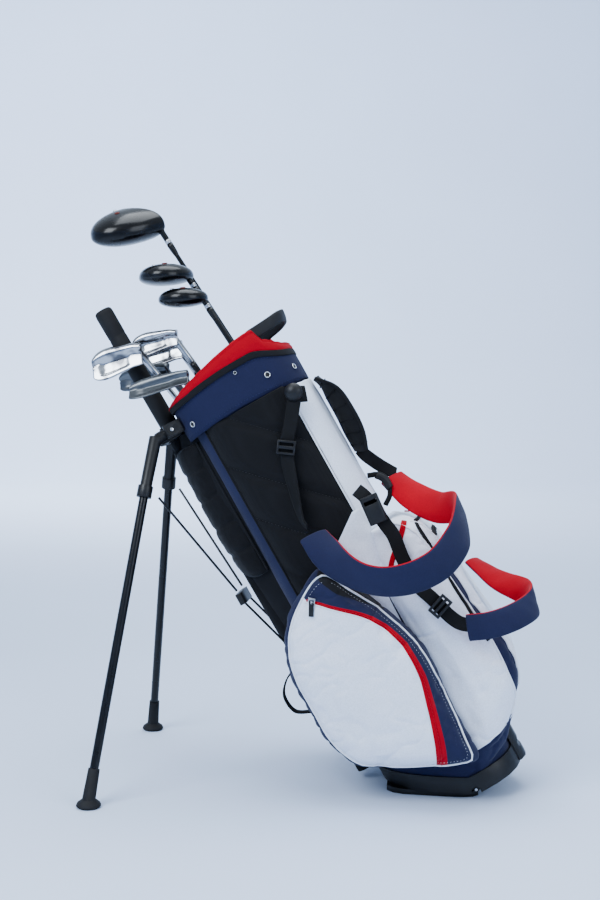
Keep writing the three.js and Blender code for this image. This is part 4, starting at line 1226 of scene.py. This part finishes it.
# ------------------------------------------------------------------ clubs
CLUBS = {
    "driver": dict(butt=(70, 50, 48), head=(0, 60, 1238), spin=-35, lie=60, socket=42, tip=4.4,
                   wood=dict(toe=130, heel=13, front=17, back=108, crown=29, sole=41)),
    "fairway": dict(butt=(84, -6, 48), head=(10, -5, 1113), spin=0, lie=60, socket=26, tip=4.4,
                    wood=dict(toe=92, heel=12, front=13, back=66, crown=16, sole=26)),
    "hybrid": dict(butt=(82, -48, 48), head=(20, -42, 1056), spin=0, lie=60, socket=22, tip=4.7,
                   wood=dict(toe=84, heel=10, front=12, back=46, crown=15, sole=22)),
    "iron_1": dict(butt=(30, -40, 50), head=(-137, -43, 1034), spin=0, lie=61,
                   iron=dict(loft=24, length=88, toe=72, heel=42)),
    "iron_2": dict(butt=(45, -2, 48), head=(-70, -8, 1026), spin=0, lie=61, iron=dict(loft=27, toe=58)),
    "iron_3": dict(butt=(24, 66, 48), head=(-88, 89, 1016), spin=0, lie=62,
                   iron=dict(loft=28, length=80, toe=64, heel=38)),
    "iron_4": dict(butt=(7, 34, 50), head=(-124, 44, 985), spin=-24, lie=62, iron=dict(loft=30, length=104)),
    "wedge": dict(butt=(-20, -67, 64), head=(-80, -71, 936), spin=0, lie=68,
                  iron=dict(loft=58, length=104, toe=62, heel=34, width=24)),
}


def club_place(club):
    butt, head = Vector(club["butt"]), Vector(club["head"])
    axis = head - butt
    turn = Vector((0, 0, 1)).rotation_difference(axis.normalized())
    roll = Matrix.Rotation(math.pi + math.radians(club["spin"]), 4, "Z")
    place = BAG @ Matrix.Translation(butt * MM) @ turn.to_matrix().to_4x4() @ roll
    length = axis.length
    tilt = Matrix.Translation((0, 0, length * MM)) @ Matrix.Rotation(-math.radians(90 - club["lie"]), 4, "Y")
    return place, place @ tilt, length


FACE_POWER = 3.2  # of the superellipse that a wood's face follows


def wood_head(name, head, toe, heel, front, back, crown, sole):
    centre, half = (toe - heel) / 2, (toe + heel) / 2
    plan = []
    for a in circle(88):
        c, s = math.cos(a), math.sin(a)
        reach, power = (back, 2) if s > 0 else (front, FACE_POWER)
        k = (abs(c) ** power + abs(s) ** power) ** (-1 / power)
        plan.append((centre + half * c * k, reach * s * k))
    rings = []
    for t in np.linspace(-0.995, 0.985, 44):
        if t < 0:
            z, scale = t * crown, (1 - t * t) ** 0.5
        else:
            z, scale = t * sole, (1 - t**2.5) ** 0.5
        rings.append([local(head, centre + (x - centre) * scale, y * scale + 0.15 * back * (1 - scale), z)
                      for x, y in plan])
    obj = skin(f"{name}_shell", rings, capped=True)
    finish(obj, "gloss", name)
    return obj


def wood_details(name, head, d):
    centre = (d["toe"] - d["heel"]) / 2
    face = d["front"]
    for k, z in enumerate(np.linspace(-0.30 * d["crown"], 0.34 * d["sole"], 6)):
        width = 24 - 1.2 * abs(k - 2.5)
        curl = (1 - (z / (d["sole"] if z > 0 else d["crown"])) ** 2) ** 0.5
        line = []
        for x in np.linspace(-width, width, 20):
            reach = (1 - (abs(x) / (centre + d["heel"])) ** FACE_POWER) ** (1 / FACE_POWER)
            line.append(local(head, centre + x, -face * reach * 0.985 * curl + 0.15 * d["back"] * (1 - curl),
                              z))
        piping(f"{name}_score_{k}", line, 0.35, "satin", name)
    sole_z = d["sole"]
    for k, (x, y, r) in enumerate([(centre - 4, d["back"] * 0.60, 5.5),
                                   (centre + d["toe"] * 0.22, d["back"] * 0.16, 4.0)]):
        base = local(head, x, y * 0.6 + 0.1 * d["back"], sole_z * 0.93)
        place = turned_axis(base, base + (head.to_3x3() @ Vector((0, 0.15, 1))).normalized())
        weight = lathe(f"{name}_weight_{k}",
                       [(r, -2), (r, 1.0), (r * 0.8, 1.7), (r * 0.45, 1.7), (r * 0.4, 0.8), (0.02, 0.8)],
                       place, 28)
        finish(weight, "accent" if k == 0 else "satin", name)


def iron_head(name, head, loft, length=78, toe=54, heel=30, width=19, sole=12, finish_as="chrome"):
    lean = math.radians(loft)
    rings = []
    for t in [i / 46 for i in range(47)]:
        x = -9 + (length + 9) * t
        round_off = math.sqrt(max(0.0, 1 - max(0.0, (t - 0.58) / 0.44) ** 2))
        full = heel + (toe - heel) * t
        height = full * (0.32 + 0.68 * round_off)
        rise = (full - height) * 0.55 + 3 * (1 - ramp(t, 0, 0.2))
        deep = width * (0.55 + 0.45 * round_off)
        hollow = 2.6 * ramp(t, 0.22, 0.36) * (1 - ramp(t, 0.74, 0.9))
        stops = [(0.6, 0.0), (height * 0.33, 0), (height * 0.66, 0), (height - 0.6, 0), (height, 2.2),
                 (height - 0.8, 4.8),
                 (height * 0.86, 5.2), (height * 0.80, 5.4 - hollow), (height * 0.62, 6.6 - hollow),
                 (height * 0.46, 8.2 - hollow),
                 (height * 0.40, deep * 0.50), (height * 0.28, deep * 0.86), (height * 0.18, deep),
                 (height * 0.06, deep * 0.95),
                 (-1.4, deep * 0.55), (-1.0, deep * 0.12)]
        ring = []
        for i in range(48):
            up, thick = catmull(stops_of(stops), i / 48, closed=True)
            u = up + rise
            ring.append(local(head, x, -6 + u * math.sin(lean) + thick * math.cos(lean),
                              sole - u * math.cos(lean) + thick * math.sin(lean) * 0.5))
        rings.append(ring)
    blade = skin(f"{name}_blade", rings, capped=True)
    finish(blade, finish_as, name)
    for k in range(9):
        up = 7 + 3.4 * k
        points = []
        for x in np.linspace(length * 0.16, length * 0.60, 8):
            points.append(local(head, x, -6 + (up + 1) * math.sin(lean) - 0.12 * math.cos(lean),
                                sole - (up + 1) * math.cos(lean)))
        piping(f"{name}_groove_{k}", points, 0.4, "gunmetal", name, 6)


def hosel(name, place, length, socket, low, high, reach, look):
    top = length - socket
    obj = lathe(f"{name}_hosel", [(low * 0.7, top + 0.2), (low * 0.96, top + 0.4), (low, top + 1.4),
                                  (low, top + socket * 0.6),
                                  (high, length - 2), (high, length + reach),
                                  (high * 0.8, length + reach + 2)], place, 36)
    finish(obj, look, name)


def club_shaft(name, place, length, socket, tip, steel):
    end = length - socket - 0.3
    grip = [(0.02, 0), (9, 0.0), (12.2, 1.0), (13, 4), (13, 10)]
    for i in range(46):
        z = 14 + 250 * i / 45
        grip.append((13 - 2.8 * z / 268 - (0.35 if i % 2 else 0), z))
    grip += [(10.0, 266), (8.2, 268), (7.3, 268)]
    finish(lathe(f"{name}_grip", grip, place, 32), "grip", name)
    rod = [(7.2, 266)]
    steps = 16
    for i in range(steps):
        a, b = 272 + (end - 300) * i / steps, 272 + (end - 300) * (i + 1) / steps
        r = 7.4 + (tip - 7.4) * (i if steel else i + 0.5) / steps
        rod += [(r, a + 0.5), (r if steel else 7.4 + (tip - 7.4) * (i + 1.5) / steps, b - 0.5)]
    rod += [(tip, end - 27), (tip, end - 24)]
    finish(lathe(f"{name}_rod", rod, place, 28), "steel" if steel else "paint", name)
    ferrule = [(tip + 0.1, end - 25), (tip + 0.7, end - 23), (tip + 1.2, end - 16), (tip + 1.25, end - 15),
               (tip + 1.5, end - 14),
               (tip + 1.7, end - 6), (tip + 1.9, end - 0.2), (tip, end)]
    finish(lathe(f"{name}_ferrule", ferrule, place, 32), "ferrule", name)


def hub_tab():
    """The folded fabric tab that ties the strap hub to the bag's back edge."""
    stops = [(84, -110, 812, 0.25, 0, 1), (98, -109, 807, 0.3, 0.1, 1), (108, -102, 802, 0.3, 0.3, 1)]
    obj = strap("hub_tab", stops, band_section(30, 3.0, 0.4, 8), 24)
    finish(obj, "black")


def rear_tab():
    """The far strap's folded webbing and buckle, on the back panel."""
    stops = [(122, 16, 612, 0, 1, 0), (140, 18, 604, 0, 1, 0), (150, 20, 584, 0, 1, 0),
             (142, 18, 560, 0, 1, 0),
             (124, 16, 546, 0, 1, 0)]
    finish(strap("rear_tab_web", stops, band_section(25, 9.0, 0.4, 8, 0.8), 50), "webbing")
    stops = [(138, 18, 606, 0, 1, 0), (147, 19, 592, 0, 1, 0), (148, 20, 572, 0, 1, 0)]
    finish(strap("rear_tab_buckle", stops, band_section(33, 13.0, 1.5, 8, 0.8), 20), "plastic")


def sleeve_gusset():
    """Black cloth that closes the gap between the bag's front wall and the sleeve."""
    levels = [(205, 16, -140), (260, 24, -150), (380, 30, -158), (500, 34, -166), (600, 40, -174),
              (780, 42, -172),
              (838, 40, -164), (866, 34, -152)]
    rings = []
    for t in np.linspace(0, 1, 70):
        z, half, reach = catmull(stops_of(levels), t)
        ring = [(-112, y) for y in np.linspace(-half * 1.5, half * 1.5, 14)]
        for a in np.linspace(0, math.pi, 30):
            share = max(math.sin(a), 0) ** 0.7
            ring.append((-112 + (reach + 112) * share, half * (1.5 - 0.5 * share) * math.cos(a)))
        rings.append([at(x, y, z) for x, y in ring])
    obj = skin("sleeve_gusset", rings, capped=True)
    wrinkle(obj, 1.6, 45, 21.0, (1, 1, 0.6))
    finish(obj, "black")


def clubs():
    for name, club in CLUBS.items():
        place, head, length = club_place(club)
        if "wood" in club:
            shell = wood_head(name, head, **club["wood"])
            wood_details(name, head, club["wood"])
            hosel(name, place, length, club["socket"], 5.6, 8, 2, "gloss")
            adapter = lathe(f"{name}_adapter",
                            [(5.7, length - club["socket"] + 1), (6.1, length - club["socket"] + 2),
                                                (6.1, length - club["socket"] + 8),
                                                (5.7, length - club["socket"] + 9)], place, 32)
            finish(adapter, "satin", name)
            club_shaft(name, place, length, club["socket"], club["tip"], False)
            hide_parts(f"{name}_head")
        else:
            look = "chrome" if name in ("iron_1", "iron_2", "iron_3") else "gunmetal"
            iron_head(name, head, finish_as=look, **club["iron"])
            hosel(name, place, length, 62, 6.6, 6.8, 10, look)
            club_shaft(name, place, length, 62, 4.7, True)
            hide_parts(f"{name}_head")
        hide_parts(f"{name}_shaft")


# ------------------------------------------------------------------ hard parts carried over from the frame
HARD = {
    "bag": [("base_shell", "plastic", 1.2), ("base_heel", "plastic", 1.5), ("club_divider", "plastic", 0.8),
            ("leg_bracket", "plastic", 0.9), ("leg_pin_near", "steel", 0.4), ("leg_pin_far", "steel", 0.4),
            ("flap_pin", "steel", 0.3), ("strap_hub", "plastic", 0.4), ("ladder_lock", "plastic", 0.8),
            ("strap_buckle", "plastic", 0.9), ("triglide", "plastic", 0.8)],
    "leg_near": [("leg_upper_near", "plastic", 0.8), ("leg_tube_near", "paint", 0),
                 ("foot_near", "rubber", 0.8)],
    "leg_far": [("leg_upper_far", "plastic", 0.8), ("leg_tube_far", "paint", 0), ("foot_far", "rubber", 0.8)],
    "push_rod_near": [("push_rod_near", "paint", 0)],
    "push_rod_far": [("push_rod_far", "paint", 0)],
    "rod": [("rod_clip", "plastic", 0.9), ("lower_rod", "paint", 0)],
    "flap": [("base_flap", "plastic", 1.0)],
    "zip_slider": [("zip_slider", "steel", 0.8)],
    "zip_pull": [("zip_pull", "plastic", 0.5)],
}


def hard_parts():
    for body, parts in HARD.items():
        for node, look, width in parts:
            obj = bevelled(node, width)
            finish(obj, look, body)


body_skin()
for side, place in SIDES:
    mesh_panel(side, place)
    foot_patch(side, place)
collar()
lift_handle()
side_pockets()
ball_pocket()
back_strip()
hip_pad()
grab_loop()
umbrella()
straps()
hub_tab()
rear_tab()
sleeve_gusset()
clubs()
hard_parts()
